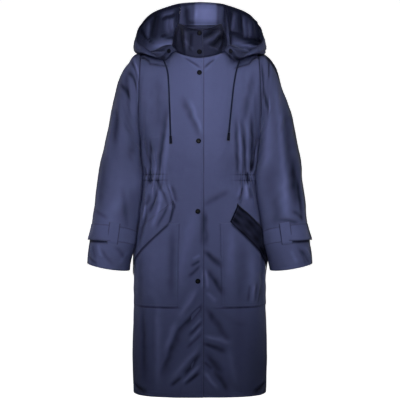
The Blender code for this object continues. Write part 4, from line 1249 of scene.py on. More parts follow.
def fold_hood(panel, key, seams):
    rim = panel.edge_distance("high")
    height = crease_height(panel, chalked(panel, HOOD_CREASES[key]))
    height += drift(panel, (0.0006, 0.050, 61 + len(key)), (0.00012, 0.013, 63))
    height = level_seams(panel, height, seams)
    height += CASING_PROUD * smooth((CASING - rim) / 0.0012) + stitched(panel, ("high",), CASING_STITCHES)
    height += rolled_edges(panel, ("high",)) + sunk_edges(panel, seams)
    # the rim gets a broad painted line of shade
    shaded_edges(panel, ("high",), 1.6, 0.0075)
    if key == "centre":
        # it gets painted highlight in its middle and painted shade beside that
        beside = abs(panel.points[..., 0] - HOOD_LIT[0]) - HOOD_LIT[1]
        panel.fold += 0.55 - 1.1 * smooth(beside / 0.012 + 0.5)
    else:
        # the sides get painted shade, most of all near the rim
        panel.fold -= 0.32 + 0.60 * smooth((0.12 - rim) / 0.04)
    panel.raised(height)


hood_seams = {"left": ("left", "low"), "right": ("right", "low"), "centre": ("left", "right", "low")}
for key, panel in hoods.items():
    fold_hood(panel, key, hood_seams[key])
    cloth_piece(f"cloth_hood_{key}", panel, far_shading=0.4)

# %% [markdown]
# ## Pockets and flaps
#
# Each pocket is a patch sewn on the front below the waist, and a slanted flap hangs over its mouth. Both are
# laid on the folded front itself, so they follow it: a spot on the panel is looked up by its angle and
# height, then moved off by the layers below.

# %% Look up spots on a panel
def panel_spots(panel, row, column):
    """Points, outward directions and painted shading at fractional rows and columns."""
    normals = panel.normals()
    rows, columns = panel.across.shape
    low = np.clip(row.astype(int), 0, rows - 2)
    left = column.astype(int) if panel.ring else np.clip(column.astype(int), 0, columns - 2)
    up, over = (row - low)[..., None], (column - left)[..., None]
    found = []
    for grid in (panel.points, normals, panel.fold[..., None]):
        corner = [grid[low + i, (left + j) % columns] for i in (0, 1) for j in (0, 1)]
        found.append(mix(mix(corner[0], corner[1], over), mix(corner[2], corner[3], over), up))
    return found


def front_spots(side, angle, z):
    panel = fronts[side]
    body_rows = panel.angle.shape[0]
    row = np.interp(z, panel.along[:body_rows, 0], np.arange(body_rows))
    angles = panel.angle[body_rows // 2]
    column = np.interp(SIDES[side] * angle, angles, np.arange(len(angles)))
    return panel_spots(panel, row, column)


# %% Lay the pockets on the fronts
POCKET_FROM, POCKET_TO = 24.5, 89.0
POCKET_BOTTOM_Z = -0.784
POCKET_TOPS = ((24.5, -0.534), (38.0, -0.534), (89.2, -0.650))
POCKET_STITCHES = (0.0030, 0.0095)
POCKET_OFF, POCKET_HEIGHT = 0.0013, 0.23
FLAP_INNER = {
    # angle_upper, z_upper, angle_lower, z_lower
    "right": (32.5, -0.466, 34.5, -0.530),
    "left": (44.5, -0.474, 35.5, -0.530),
}
FLAP_OUTER = (89.2, -0.604, 89.2, -0.697)


def soften(height, times=6):
    """Evens a grid of points out, with its edges held."""
    for _ in range(times):
        height[1:-1] = (height[:-2] + 2 * height[1:-1] + height[2:]) / 4
        height[:, 1:-1] = (height[:, :-2] + 2 * height[:, 1:-1] + height[:, 2:]) / 4
    return height


def patch(side, angle, z, off):
    """A panel lying off the front on a grid of angles and heights, ordered so that it faces out."""
    points, normals, fold = front_spots(side, angle, z)
    points = soften(points + normals * np.broadcast_to(off, z.shape)[..., None])
    if side == "right":
        points, fold = points[:, ::-1], fold[:, ::-1]
    panel = measured(points)
    # the patch takes on the painted shading of the front beneath it
    panel.fold = fold[..., 0] * 0.8
    return panel


pockets = {}
for side in SIDES:
    columns = POCKET_FROM + spaced(1.0, 0.0145, (), (False, False)) * (POCKET_TO - POCKET_FROM)
    rows = spaced(POCKET_HEIGHT, 0.0036, POCKET_STITCHES) / POCKET_HEIGHT
    down, angle = np.meshgrid(rows, columns, indexing="ij")
    z = mix(POCKET_BOTTOM_Z, np.interp(angle, *zip(*POCKET_TOPS)), down)
    panel = patch(side, angle, z, POCKET_OFF)
    height = drift(panel, (0.0005, 0.040, 71)) + stitched(panel, ("low", side), POCKET_STITCHES)
    height += rolled_edges(panel, ("low", "high", side))
    # the lower edge and the inner edge get painted lines of shade
    shaded_edges(panel, ("low",), 0.8)
    shaded_edges(panel, (side,), 0.25)
    # the flap's lower edge keeps the light off a strip of the pocket, and that shade is painted in
    corners = FLAP_INNER[side][2:], FLAP_OUTER[2:]
    line = np.interp(angle, *zip(*corners))
    shade = 1.1 * np.exp(-(((line - z - 0.0015) / 0.0045) ** 2)) * smooth((angle - corners[0][0]) / 3)
    panel.fold -= shade if side == "left" else shade[:, ::-1]
    pockets[side] = panel.raised(height)
    cloth_piece(f"cloth_pocket_{side}", panel)

# %% Hang the flaps
FLAP_STITCHES = (0.0065,)
FLAP_DROP = 0.068
# How far the flap lies off at places down it, from its sewn edge (0) to its free one (1).
FLAP_OFF = {
    "right": ((0.0, 0.0010), (0.25, 0.0036), (1.0, 0.0044)),
    "left": ((0.0, 0.0012), (0.2, 0.0120), (0.6, 0.0090), (1.0, 0.0030)),
}
flaps = {}
for side in SIDES:
    ends = np.array([FLAP_INNER[side], FLAP_OUTER])
    drops = spaced(FLAP_DROP, 0.0032, FLAP_STITCHES) / FLAP_DROP
    up, over = np.meshgrid(drops, spaced(1.0, 0.016), indexing="ij")
    down = 1 - up
    upper = mix(ends[0][:2, None, None], ends[1][:2, None, None], over)
    lower = mix(ends[0][2:, None, None], ends[1][2:, None, None], over)
    angle, z = mix(upper, lower, down)
    off = table_at(FLAP_OFF[side], down)[0]
    panel = patch(side, angle, z, off)
    height = drift(panel, (0.0005, 0.040, 75)) + stitched(panel, ("low", side), FLAP_STITCHES, puckered=False)
    height += rolled_edges(panel, ("low", side)) + sunk_edges(panel, ("high",))
    # the lower edge and the inner edge get painted lines of shade
    shaded_edges(panel, ("low", side), 1.2)
    if side == "left":
        # this flap stands off and gets painted shade, with long streaks of painted highlight
        panel.fold += 0.55 * unevenness(panel.across * 0.4, panel.along, 0.022, 77) - 0.45
    flaps[side] = panel.raised(height)
    cloth_piece(f"cloth_flap_{side}", panel)

# %% [markdown]
# ## Cuff straps
#
# A strap goes round each sleeve above the cuff and through a carrier loop at the front. On the outer side it
# stands off a little, so a dark gap shows under it, deepened by painted shade on the sleeve.

# %% Wrap the straps and their loops
STRAP_OFF, STRAP_STAND = 0.0017, 0.0075
LOOP_TURN, LOOP_WIDTH_TURN, LOOP_OVER = 88, 22, 0.06
LOOP_OFF = 0.0036
STRAP_SHADE_TURN = 160  # where the left strap turns away round the outer side and its painted shade lies, in degrees
STRAP_STITCHES = (0.0045,)
STRAP_DEPTH, LOOP_WIDTH = 0.050, 0.022


def strap_panel(side, turns, shares, off):
    """A panel lying off a sleeve, on a grid of turns in degrees and shares of the sleeve's length."""
    sleeve = sleeves[side]
    rows, columns = sleeve.across.shape
    share, turn = np.meshgrid(shares, turns, indexing="ij")
    place = share - np.interp(turn, *zip(*STRAP_RISE))
    row = np.interp(place, sleeve.along[::-1, 0] / SLEEVE_LENGTH, np.arange(rows)[::-1])
    column = turn / 360 * columns
    points, normals, _ = panel_spots(sleeve, row, column if side == "left" else columns - 1 - column)
    points = soften(points + normals * off(turn, share)[..., None], 4)
    if side == "right":
        points = points[:, ::-1]
    return measured(points)


def strap_off(turn, share):
    down = (share - STRAP_TOP) / (STRAP_BOTTOM - STRAP_TOP)
    return STRAP_OFF + STRAP_STAND * strap_gap(turn) * smooth(down) ** 1.5


def loop_off(_, share):
    edge = (STRAP_BOTTOM - STRAP_TOP) * LOOP_OVER
    inside = np.minimum(share - STRAP_TOP + 3 * edge, STRAP_BOTTOM + 3 * edge - share)
    return mix(0.0016, LOOP_OFF, smooth(inside / (2.6 * edge)))


straps, loops = {}, {}
strap_turns = STRAP_GAP_TURN + spaced(1.0, 0.0105, (), (False, False)) * (360 - 2 * STRAP_GAP_TURN)
strap_rows = spaced(STRAP_DEPTH, 0.0034, STRAP_STITCHES) / STRAP_DEPTH
strap_shares = STRAP_BOTTOM - strap_rows * (STRAP_BOTTOM - STRAP_TOP)
reach = (STRAP_BOTTOM - STRAP_TOP) * LOOP_OVER * 3
loop_turns = LOOP_TURN + LOOP_WIDTH_TURN * (spaced(LOOP_WIDTH, 0.0016) / LOOP_WIDTH - 0.5)
loop_shares = np.linspace(STRAP_BOTTOM + reach, STRAP_TOP - reach, 40)
for side in SIDES:
    straps[side] = strap_panel(side, strap_turns, strap_shares, strap_off)
    loops[side] = strap_panel(side, loop_turns, loop_shares, loop_off)
    height = drift(straps[side], (0.0004, 0.030, 81)) + rolled_edges(straps[side], ALL_EDGES)
    height += stitched(straps[side], ALL_EDGES, STRAP_STITCHES, puckered=False)
    # the strap's lower and upper edges, and the loop's sides, get painted lines of shade
    shaded_edges(straps[side], ("low", "high"), 0.8)
    shaded_edges(loops[side], ("left", "right"), 1.3, 0.0018)
    # the left strap gets painted shade where it turns away round the outer side
    if side == "left":
        straps[side].fold -= 1.3 * np.exp(-(((strap_turns - STRAP_SHADE_TURN) / 9) ** 2))
    straps[side].raised(height)
    loops[side].raised(rolled_edges(loops[side], ("left", "right")))
    cloth_piece(f"cloth_cuff_strap_{side}", straps[side])
    cloth_piece(f"cloth_strap_loop_{side}", loops[side])
print("faces:", {name: len(obj.data.polygons) for name, obj in made.items()})

# %% [markdown]
# ## Snaps, eyelets and cord ends
#
# Small turned hardware is modelled by hand: a disc is extruded and scaled ring by ring along its profile.
# That gives crisp edges where a bevel would need care, and the profile's numbers are its radii and heights.
# Each eyelet is a torus, pressed flatter.

# %% Turn the hardware
SNAP_PROFILE = (
    # radius, height
    (0.0070, 0.0000), (0.0076, 0.0003), (0.0077, 0.0009), (0.0076, 0.0014), (0.0073, 0.0018),
    (0.0069, 0.0021), (0.0062, 0.0025), (0.0050, 0.0029), (0.0036, 0.0031), (0.0018, 0.0032),
    (0.0004, 0.0032),
)  # fmt: skip
CORD_END_PROFILE = (
    (0.0026, 0.0000), (0.0034, 0.0002), (0.0044, 0.0007), (0.0046, 0.0014), (0.0046, 0.0040),
    (0.0045, 0.0090), (0.0043, 0.0150), (0.0040, 0.0205), (0.0038, 0.0236), (0.0034, 0.0246),
    (0.0026, 0.0250), (0.0006, 0.0250),
)  # fmt: skip
SNAP_SIDES, CORD_END_SIDES = 40, 28
SNAP_FEET = ((0.005, 0), (-0.005, 0), (0, 0.005), (0, -0.005))  # the slope under a snap is read here
SNAP_SUNK = 0.0002
SNAPS = (
    # x, z
    (-0.001, 0.0395), (-0.001, -0.0185), (-0.001, -0.082), (-0.0035, -0.289), (-0.0055, -0.499),
    (-0.0055, -0.706),
)  # fmt: skip
EYELET_RADIUS, EYELET_BAR, EYELET_FLAT, EYELET_PROUD = 0.0036, 0.0029, 0.6, 0.8
EYELET_X, EYELET_Z = 0.094, -0.014


def turned_piece(name, profile, sides):
    """A solid of revolution standing on the origin, extruded ring by ring."""
    radius, height = profile[0]
    bpy.ops.object.select_all(action="DESELECT")
    bpy.ops.mesh.primitive_circle_add(vertices=sides, radius=radius, fill_type="NGON", location=(0, 0, 0))
    obj = bpy.context.object
    bpy.ops.object.mode_set(mode="EDIT")
    for (before, low), (after, high) in zip(profile, profile[1:]):
        bpy.ops.mesh.extrude_region_move(TRANSFORM_OT_translate={"value": (0, 0, high - low)})
        bpy.ops.transform.resize(value=(after / before, after / before, 1))
    face_out()
    obj.name = obj.data.name = name
    obj.data.shade_smooth()
    return obj


def stand_on(obj, spot, normal):
    """Stands a piece of hardware on a spot, with its axis along the normal."""
    turn = Vector(normal).to_track_quat("Z", "Y").to_matrix().to_4x4()
    obj.data.transform(Matrix.Translation(Vector(spot)) @ turn)
    made[obj.name] = obj


def facing(panel_name, x, z):
    """The spot of this piece met from the front, and its outward direction."""
    tree = tree_of(made[panel_name])
    spot, _, _, _ = tree.ray_cast(Vector((x, -1, z)), Vector((0, 1, 0)))
    near = [tree.ray_cast(Vector((x + a, -1, z + b)), Vector((0, 1, 0)))[0] for a, b in SNAP_FEET]
    normal = (near[0] - near[1]).cross(near[2] - near[3]).normalized()
    return spot, normal if normal.y < 0 else -normal


for number, (x, z) in enumerate(SNAPS, 1):
    spot, normal = facing("cloth_collar" if z > NECK_FRONT_Z else "cloth_front_right", x, z)
    stand_on(turned_piece(f"cap_{number}", SNAP_PROFILE, SNAP_SIDES), spot - normal * SNAP_SUNK, normal)

for side in SIDES:
    spot, normal = facing(f"cloth_hood_{side}", SIDES[side] * EYELET_X, EYELET_Z)
    bpy.ops.object.select_all(action="DESELECT")
    bpy.ops.mesh.primitive_torus_add(
        major_radius=EYELET_RADIUS, minor_radius=EYELET_BAR, major_segments=40, minor_segments=14
    )
    ring = bpy.context.object
    bpy.ops.object.mode_set(mode="EDIT")
    bpy.ops.transform.resize(value=(1, 1, EYELET_FLAT))
    bpy.ops.object.mode_set(mode="OBJECT")
    ring.name = ring.data.name = f"ring_{side}"
    ring.data.shade_smooth()
    stand_on(ring, spot + normal * EYELET_BAR * EYELET_FLAT * EYELET_PROUD, normal)

# %% [markdown]
# ## Drawcords
#
# A cord leaves the hood's casing by each eyelet and hangs down the chest. Its route is the solid's own.
# The braid is two sets of strands that wind opposite ways round the route, shaped straight into the tube.

# %% Braid the cords
CORD_DIAMETER = 0.005
CORD_ROUTES = {
    "right": (
        (-0.1098, -0.0768, -0.0417), (-0.1052, -0.0788, -0.0520), (-0.1016, -0.0798, -0.0620),
        (-0.0984, -0.0806, -0.0730), (-0.0962, -0.0822, -0.0860), (-0.0949, -0.0849, -0.1000),
        (-0.0938, -0.0896, -0.1160), (-0.0929, -0.0948, -0.1330), (-0.0920, -0.0993, -0.1510),
        (-0.0912, -0.1035, -0.1700), (-0.0904, -0.1071, -0.1900), (-0.0896, -0.1098, -0.2100),
        (-0.0888, -0.1126, -0.2300), (-0.0880, -0.1156, -0.2500), (-0.0872, -0.1182, -0.2720),
    ),
    "left": (
        (0.1202, -0.0787, -0.0428), (0.1170, -0.0795, -0.0530), (0.1134, -0.0803, -0.0640),
        (0.1104, -0.0812, -0.0760), (0.1076, -0.0828, -0.0900), (0.1050, -0.0858, -0.1050),
        (0.1026, -0.0903, -0.1210), (0.1004, -0.0953, -0.1380), (0.0983, -0.0997, -0.1560),
        (0.0963, -0.1038, -0.1750), (0.0942, -0.1070, -0.1940), (0.0922, -0.1100, -0.2130),
        (0.0903, -0.1130, -0.2320), (0.0888, -0.1158, -0.2490), (0.0876, -0.1180, -0.2630),
    ),
}  # fmt: skip
BRAID_SIDES, BRAID_STEP, BRAID_PITCH, BRAID_STRANDS = 20, 0.0009, 0.0105, 4
BRAID_ENDS = (0.35, 0.8)  # how wide its last two rings are, where it closes
ROUTE_STEP = 0.002
CORD_END_LENGTH = 0.0253


def read_along(place, length, values):
    """Vectors that are listed along a line, read at these places."""
    return np.stack([np.interp(place, length, values[:, k]) for k in range(3)], -1)


def cord_line(side, step):
    """Points about one step apart on a smooth curve through the route, and how far along they lie."""
    route = np.array(CORD_ROUTES[side])
    places = np.linspace(0, len(route) - 1, 600)
    fine = np.stack([listed_at(route[:, k], places) for k in range(3)], -1)
    length = np.insert(np.cumsum(np.linalg.norm(np.diff(fine, axis=0), axis=1)), 0, 0)
    even = np.linspace(0, length[-1], round(length[-1] / step) + 1)
    return read_along(even, length, fine), even


def cord_piece(side):
    line, length = cord_line(side, BRAID_STEP)
    run = np.gradient(line, axis=0)
    run /= np.linalg.norm(run, axis=1, keepdims=True)
    first = np.cross(run, (0, 1, 0))
    first /= np.linalg.norm(first, axis=1, keepdims=True)
    second = np.cross(run, first)
    turn = np.arange(BRAID_SIDES) / BRAID_SIDES * 2 * np.pi
    wind = 2 * np.pi * length[:, None] / BRAID_PITCH
    over = np.maximum(np.sin(BRAID_STRANDS * turn + wind * 2), np.sin(BRAID_STRANDS * turn - wind * 2))
    radius = (CORD_DIAMETER / 2) * (0.93 + 0.09 * over)
    for ring, share in enumerate(BRAID_ENDS):
        radius[[ring, -1 - ring]] *= share
    outward = np.cos(turn)[:, None] * first[:, None] + np.sin(turn)[:, None] * second[:, None]
    points = line[:, None] + radius[..., None] * outward
    across, along = np.meshgrid(turn * CORD_DIAMETER / 2, length)
    mesh = grid_mesh(f"braid_{side}", points, across, along, ring=True)
    obj = link(bpy.data.objects.new(f"braid_{side}", mesh))
    face_out(fill=True)
    made[obj.name] = obj
    return length[-1]


for side in SIDES:
    cord_piece(side)
    line, _ = cord_line(side, ROUTE_STEP)
    run = Vector(line[-1] - line[-2]).normalized()
    tip = Vector(line[-1]) + run * CORD_END_LENGTH
    stand_on(turned_piece(f"bell_{side}", CORD_END_PROFILE, CORD_END_SIDES), tip, -run)

# %% [markdown]
# ## Stitches
#
# A texture of stitches smears when seen close. Each stitch here is a small bead that dips at both ends, and
# all of them are one mesh. Lines of stitches follow a panel's edge at a stated distance.

# %% Sew
STITCH_PITCH, STITCH_LONG, STITCH_THICK = 0.0034, 0.0027, 0.00034
STITCH_MARGIN, STITCH_AHEAD = 0.002, 0.0005
STITCH_RINGS = (
    # place along the stitch, size, rise
    (0.0, 0.15, -0.9), (0.22, 0.85, 0.25), (0.5, 1.0, 0.55), (0.78, 0.85, 0.25), (1.0, 0.15, -0.9),
)  # fmt: skip
ARMHOLE_STITCH, HOOD_SEAM_STITCH = 0.0060, 0.0050
stitch_points, stitch_faces = [], []


def line_along(panel, edge, distance):
    """Points and outward directions on a line at this distance from a panel's edge."""
    flat = panel.edge_distance(edge)
    points, normals = panel.points, panel.normals()
    if edge in ("low", "high"):
        flat, points, normals = flat.T, points.transpose(1, 0, 2), normals.transpose(1, 0, 2)
    if edge in ("right", "high"):
        flat, points, normals = flat[:, ::-1], points[:, ::-1], normals[:, ::-1]
    found = [
        [[np.interp(distance, row, grid[i, :, k]) for k in range(3)] for i, row in enumerate(flat)]
        for grid in (points, normals)
    ]
    return np.array(found[0]), np.array(found[1])


def sew(line, normals):
    """One line of stitches: a square ring of points at each place of a bead, and faces between the rings."""
    steps = np.linalg.norm(np.diff(line, axis=0), axis=1)
    length = np.insert(np.cumsum(steps), 0, 0)
    starts = np.arange(STITCH_MARGIN, length[-1] - STITCH_MARGIN - STITCH_LONG, STITCH_PITCH)
    turn = np.arange(4) / 4 * 2 * np.pi + np.pi / 4
    rings = []
    for share, size, rise in STITCH_RINGS:
        place = starts + share * STITCH_LONG
        middle, up = read_along(place, length, line), read_along(place, length, normals)
        run = read_along(place + STITCH_AHEAD, length, line) - middle
        aside = np.cross(run, up)
        aside /= np.maximum(np.linalg.norm(aside, axis=1, keepdims=True), 1e-9)
        middle = middle + up * STITCH_THICK * rise
        offset = np.cos(turn)[:, None, None] * aside + np.sin(turn)[:, None, None] * up
        rings.append(middle + offset * STITCH_THICK * size)
    beads = np.array(rings).transpose(2, 0, 1, 3).reshape(len(starts), -1, 3)
    base = sum(map(len, stitch_points))
    stitch_points.append(beads.reshape(-1, 3))
    per = 4 * len(STITCH_RINGS)
    one = [
        (4 * r + k, 4 * r + (k + 1) % 4, 4 * r + 4 + (k + 1) % 4, 4 * r + 4 + k)
        for r in range(len(STITCH_RINGS) - 1)
        for k in range(4)
    ]
    one += [(3, 2, 1, 0), tuple(per - 4 + k for k in range(4))]
    one = np.array(one)
    stitch_faces.append((one[None] + base + np.arange(len(starts))[:, None, None] * per).reshape(-1, 4))


def sew_edges(panel, edges, places):
    for edge in edges:
        for place in places:
            sew(*line_along(panel, edge, place))


for side in SIDES:
    sew_edges(fronts[side], ("low",), HEM_STITCHES)
    sew_edges(fronts[side], (side,), (PLACKET_STITCH,))
    sew_edges(sleeves[side], ("low",), (CUFF_STITCH,))
    sew_edges(sleeves[side], ("high",), (ARMHOLE_STITCH,))
    sew_edges(pockets[side], ("low", side), POCKET_STITCHES)
    sew_edges(flaps[side], ("low", side, "high"), FLAP_STITCHES)
    sew_edges(straps[side], ALL_EDGES, STRAP_STITCHES)
    sew_edges(hoods[side], ("high",), CASING_STITCHES)
    sew_edges(hoods[side], (side,), (HOOD_SEAM_STITCH,))
sew_edges(back, ("low",), HEM_STITCHES)
sew_edges(collar, ("high", "right"), COLLAR_STITCH)
sew_edges(hoods["centre"], ("high",), CASING_STITCHES)
sew_edges(hoods["centre"], ("left", "right"), (HOOD_SEAM_STITCH,))
faces = np.concatenate(stitch_faces)
mesh = bpy.data.meshes.new("stitches")
mesh.from_pydata(np.concatenate(stitch_points), [], faces.tolist())
mesh.shade_smooth()
made["stitches"] = link(bpy.data.objects.new("stitches", mesh))
face_out()
print("stitches:", sum(map(len, stitch_points)) // (4 * len(STITCH_RINGS)))

# %% [markdown]
# ## Materials
#
# The cloth is a tightly woven, coated navy cotton with a satin sheen. Its weave is a fine bump, its colour
# drifts a little, and seams and edges are rubbed lighter. Its colour also takes painted shade in troughs and
# shaded strips, and painted highlight on ridges. Shader sums are written as plain arithmetic through a small
# class, and every other shader node goes through one method.

# %% Write shaders as arithmetic
class Sum:
    """A shader value that can be added, subtracted and multiplied like a number."""

    def __init__(self, tree, socket):
        self.tree, self.socket = tree, socket

    def work(self, operation, *others, clamp=False):
        node = self.tree.nodes.new("ShaderNodeMath")
        node.operation, node.use_clamp = operation, clamp
        for slot, value in zip(node.inputs, (self, *others)):
            if isinstance(value, Sum):
                self.tree.links.new(value.socket, slot)
            else:
                slot.default_value = value
        return Sum(self.tree, node.outputs[0])

    def __add__(self, other):
        return self.work("ADD", other)

    def __sub__(self, other):
        return self.work("SUBTRACT", other)

    def __mul__(self, other):
        return self.work("MULTIPLY", other)

    def sine(self):
        return self.work("SINE")

    def clamped(self):
        return self.work("ADD", 0.0, clamp=True)


class Finish:
    """A material under construction."""

    def __init__(self, name):
        self.material = bpy.data.materials.new(name)
        self.material.use_nodes = True
        self.tree = self.material.node_tree
        self.surface = self.tree.nodes["Principled BSDF"]

    def node(self, kind, settings=None, **sockets):
        node = self.tree.nodes.new(kind)
        for key, value in (settings or {}).items():
            setattr(node, key, value)
        for key, value in sockets.items():
            self.plug(node.inputs[key], value)
        return node

    def plug(self, socket, value):
        if isinstance(value, Sum):
            value = value.socket
        if isinstance(value, bpy.types.NodeSocket):
            self.tree.links.new(value, socket)
        else:
            socket.default_value = value

    def value(self, node, output=0):
        return Sum(self.tree, node.outputs[output])

    def blend(self, factor, first, second):
        mixer = self.node("ShaderNodeMix", {"data_type": "RGBA"})
        for slot, value in ((0, factor), (6, first), (7, second)):
            self.plug(mixer.inputs[slot], value)
        return mixer.outputs[2]

    def noise(self, scale, detail=2.0, rough=0.5):
        place = self.node("ShaderNodeTexCoord").outputs["Object"]
        node = self.node("ShaderNodeTexNoise", Vector=place, Scale=scale, Detail=detail, Roughness=rough)
        return self.value(node)

    def mark(self, name):
        """A number that the mesh keeps at each of its points."""
        return self.value(self.node("ShaderNodeAttribute", {"attribute_name": name}), 2)

    def weave(self, pitch):
        """Threads over and under each other, from the cloth coordinates."""
        place = self.node("ShaderNodeUVMap", {"uv_map": "cloth"}).outputs[0]
        split = self.node("ShaderNodeSeparateXYZ", Vector=place)
        pace = 2 * math.pi / pitch
        across, along = (self.value(split, k) * pace for k in (0, 1))
        return across.sine() * along.sine()

    def bump(self, height, distance, strength=1.0, under=None):
        node = self.node("ShaderNodeBump", Height=height, Distance=distance, Strength=strength)
        if under is not None:
            self.plug(node.inputs["Normal"], under)
        return node.outputs[0]

    def set(self, **sockets):
        for key, value in sockets.items():
            self.plug(self.surface.inputs[key.replace("_", " ")], value)
        return self.material


# %% Mix the finishes
def cloth_finish(name, deep, pale, rough, shine, ridge_highlight):
    """Troughs of folds and shaded strips get painted shade, ridges and lit strips get painted highlight, and
    edges are rubbed pale.
    """
    finish = Finish(name)
    wear, fold = finish.mark("wear"), finish.mark("fold")
    shift = finish.noise(9.0, 4.0, 0.6)
    slub = finish.noise(160.0, 3.0, 0.6)
    factor = (shift * 0.5 + slub * 0.25 + wear * 0.25 - 0.12).clamped()
    colour = finish.blend(factor, deep, pale)
    # painted highlight: where the mark is above zero the colour lightens towards a brighter copy of the pale
    # colour
    colour = finish.blend((fold * 0.55).clamped(), colour, tuple(ridge_highlight * part for part in pale[:3]) + (1,))
    # painted shade: where the mark is below zero the colour darkens towards a near-black copy of the deep
    # colour
    colour = finish.blend((fold * -0.85).clamped(), colour, tuple(0.12 * part for part in deep[:3]) + (1,))
    roughness = (slub * 0.16 + shift * 0.10 - fold * 0.10 + (rough - 0.13)).clamped()
    grain = finish.bump(finish.noise(420.0, 3.0, 0.6), 0.0004, 0.5)
    return finish.set(
        Base_Color=colour,
        Roughness=roughness,
        Specular_IOR_Level=shine,
        Specular_Tint=(0.42, 0.48, 1.0, 1.0),
        Normal=finish.bump(finish.weave(0.0011), 0.00012, 0.5, grain),
    )


def metal_finish():
    finish = Finish("black enamel")
    scuffs = finish.noise(700.0, 4.0, 0.7)
    return finish.set(
        Base_Color=finish.blend(scuffs, (0.0012, 0.0014, 0.003, 1), (0.003, 0.0035, 0.006, 1)),
        Roughness=(scuffs * 0.14 + 0.16).clamped(),
        Specular_IOR_Level=0.03,
        Normal=finish.bump(finish.noise(900.0, 2.0), 0.00005, 0.4),
    )


def cord_finish(name, deep, pale, rough):
    finish = Finish(name)
    fibre = finish.noise(1500.0, 3.0, 0.7)
    return finish.set(
        Base_Color=finish.blend(fibre, deep, pale),
        Roughness=(fibre * 0.2 + rough).clamped(),
        Specular_IOR_Level=0.20,
        Specular_Tint=(0.5, 0.55, 1.0, 1.0),
        Normal=finish.bump(fibre, 0.0003, 0.6),
    )


NAVY = cloth_finish("navy coated cotton", (0.046, 0.053, 0.114, 1), (0.062, 0.071, 0.152, 1), 0.48, 0.20, 2.0)
# a darker copy of the navy cloth, used as painted shade on the collar and the left flap
NAVY_IN_SHADE = cloth_finish(
    "navy coated cotton in painted shade", (0.009, 0.010, 0.021, 1), (0.013, 0.0145, 0.030, 1), 0.44, 0.12, 3.0
)
ENAMEL = metal_finish()
BRAID = cord_finish("navy braid", (0.003, 0.004, 0.009, 1), (0.008, 0.010, 0.022, 1), 0.60)
BELL = cord_finish("matte plastic", (0.001, 0.0012, 0.002, 1), (0.0025, 0.003, 0.005, 1), 0.42)
THREAD = cord_finish("navy thread", (0.012, 0.014, 0.034, 1), (0.030, 0.035, 0.075, 1), 0.50)

# %% [markdown]
# ## Finishes and solids
#
# Every piece takes its finish, each piece of cloth and hardware hides the solid that it stands for, and each
# piece of cloth prints its area beside that of its cut. All of them ride on the one body: nothing on this
# coat turns or slides.

CUTS = {
    # flat width, flat length, flat area, how it is held, what it hangs from or lies on
    "front_right": (0.33, 1.10, 0.290, "gathered", ("back", "sleeve_right")),
    "front_left": (0.34, 1.10, 0.305, "gathered", ("back", "sleeve_left")),
    "back": (0.60, 1.10, 0.550, "gathered", ("front_right", "front_left")),
    "sleeve_right": (0.48, 0.67, 0.225, "hung", ("front_right", "back")),
    "sleeve_left": (0.48, 0.67, 0.225, "hung", ("front_left", "back")),
    "collar": (0.58, 0.095, 0.046, "laid", ("front_right", "front_left", "back")),
    "hood_right": (0.43, 0.31, 0.067, "draped", ("front_right", "back")),
    "hood_left": (0.41, 0.33, 0.061, "draped", ("front_left", "back")),
    "hood_centre": (0.18, 0.36, 0.057, "draped", ("back",)),
    "pocket_right": (0.235, 0.25, 0.045, "laid", ("front_right",)),
    "pocket_left": (0.235, 0.25, 0.045, "laid", ("front_left",)),
    "flap_right": (0.25, 0.07, 0.0155, "hung", ("front_right",)),
    "flap_left": (0.26, 0.07, 0.0170, "hung", ("front_left",)),
    "cuff_strap_right": (0.39, 0.046, None, "laid", ("sleeve_right",)),
    "cuff_strap_left": (0.39, 0.046, None, "laid", ("sleeve_left",)),
    "strap_loop_right": (0.034, 0.070, None, "laid", ("cuff_strap_right",)),
    "strap_loop_left": (0.034, 0.070, None, "laid", ("cuff_strap_left",)),
}
HARDWARE = {"cap": "snap", "ring": "eyelet", "braid": "hood_cord", "bell": "cord_end"}
FINISHES = {
    "cap": (ENAMEL, "snap_metal"), "ring": (ENAMEL, "snap_metal"), "braid": (BRAID, "drawcord"),
    "bell": (BELL, "cord_end"), "stitches": (THREAD, "shell_cloth"),
}  # fmt: skip
# these pieces take the darker copy of the cloth as painted shade
PAINTED_SHADE_PIECES = ("cloth_collar", "cloth_flap_left")


def own_area(obj):
    """The area of one face of the cloth."""
    return sum(polygon.area for polygon in obj.data.polygons) / 2


for name, obj in made.items():
    start, _, rest = name.partition("_")
    finish, slot = FINISHES.get(start, (NAVY_IN_SHADE if name in PAINTED_SHADE_PIECES else NAVY, "shell_cloth"))
    obj.data.materials.clear()
    obj.data.materials.append(finish)
    if start == "cloth":
        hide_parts(rest)
    elif start in HARDWARE:
        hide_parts(f"{HARDWARE[start]}_{rest}")
    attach(obj, "root")
    if start == "cloth":
        width, length, area, held, rests_on = CUTS[rest]
        print(name, "area:", round(own_area(obj), 4), "cut:", area or round(width * length, 4))
for side in SIDES:
    route, _ = cord_line(side, ROUTE_STEP)

# %% [markdown]
# ## Stage and light
#
# A pale sweep stands all round and below. Soft lights hang high in front, so that cloth tilted up shines
# and cloth hanging straight stays deep, and one stands at the wearer's right. Weak ones lift the chest, the
# skirt, the hood and the cuffs, and the back has its own three.

# %% Build the stage
SWEEP_RINGS, SWEEP_SIDES = 60, 96
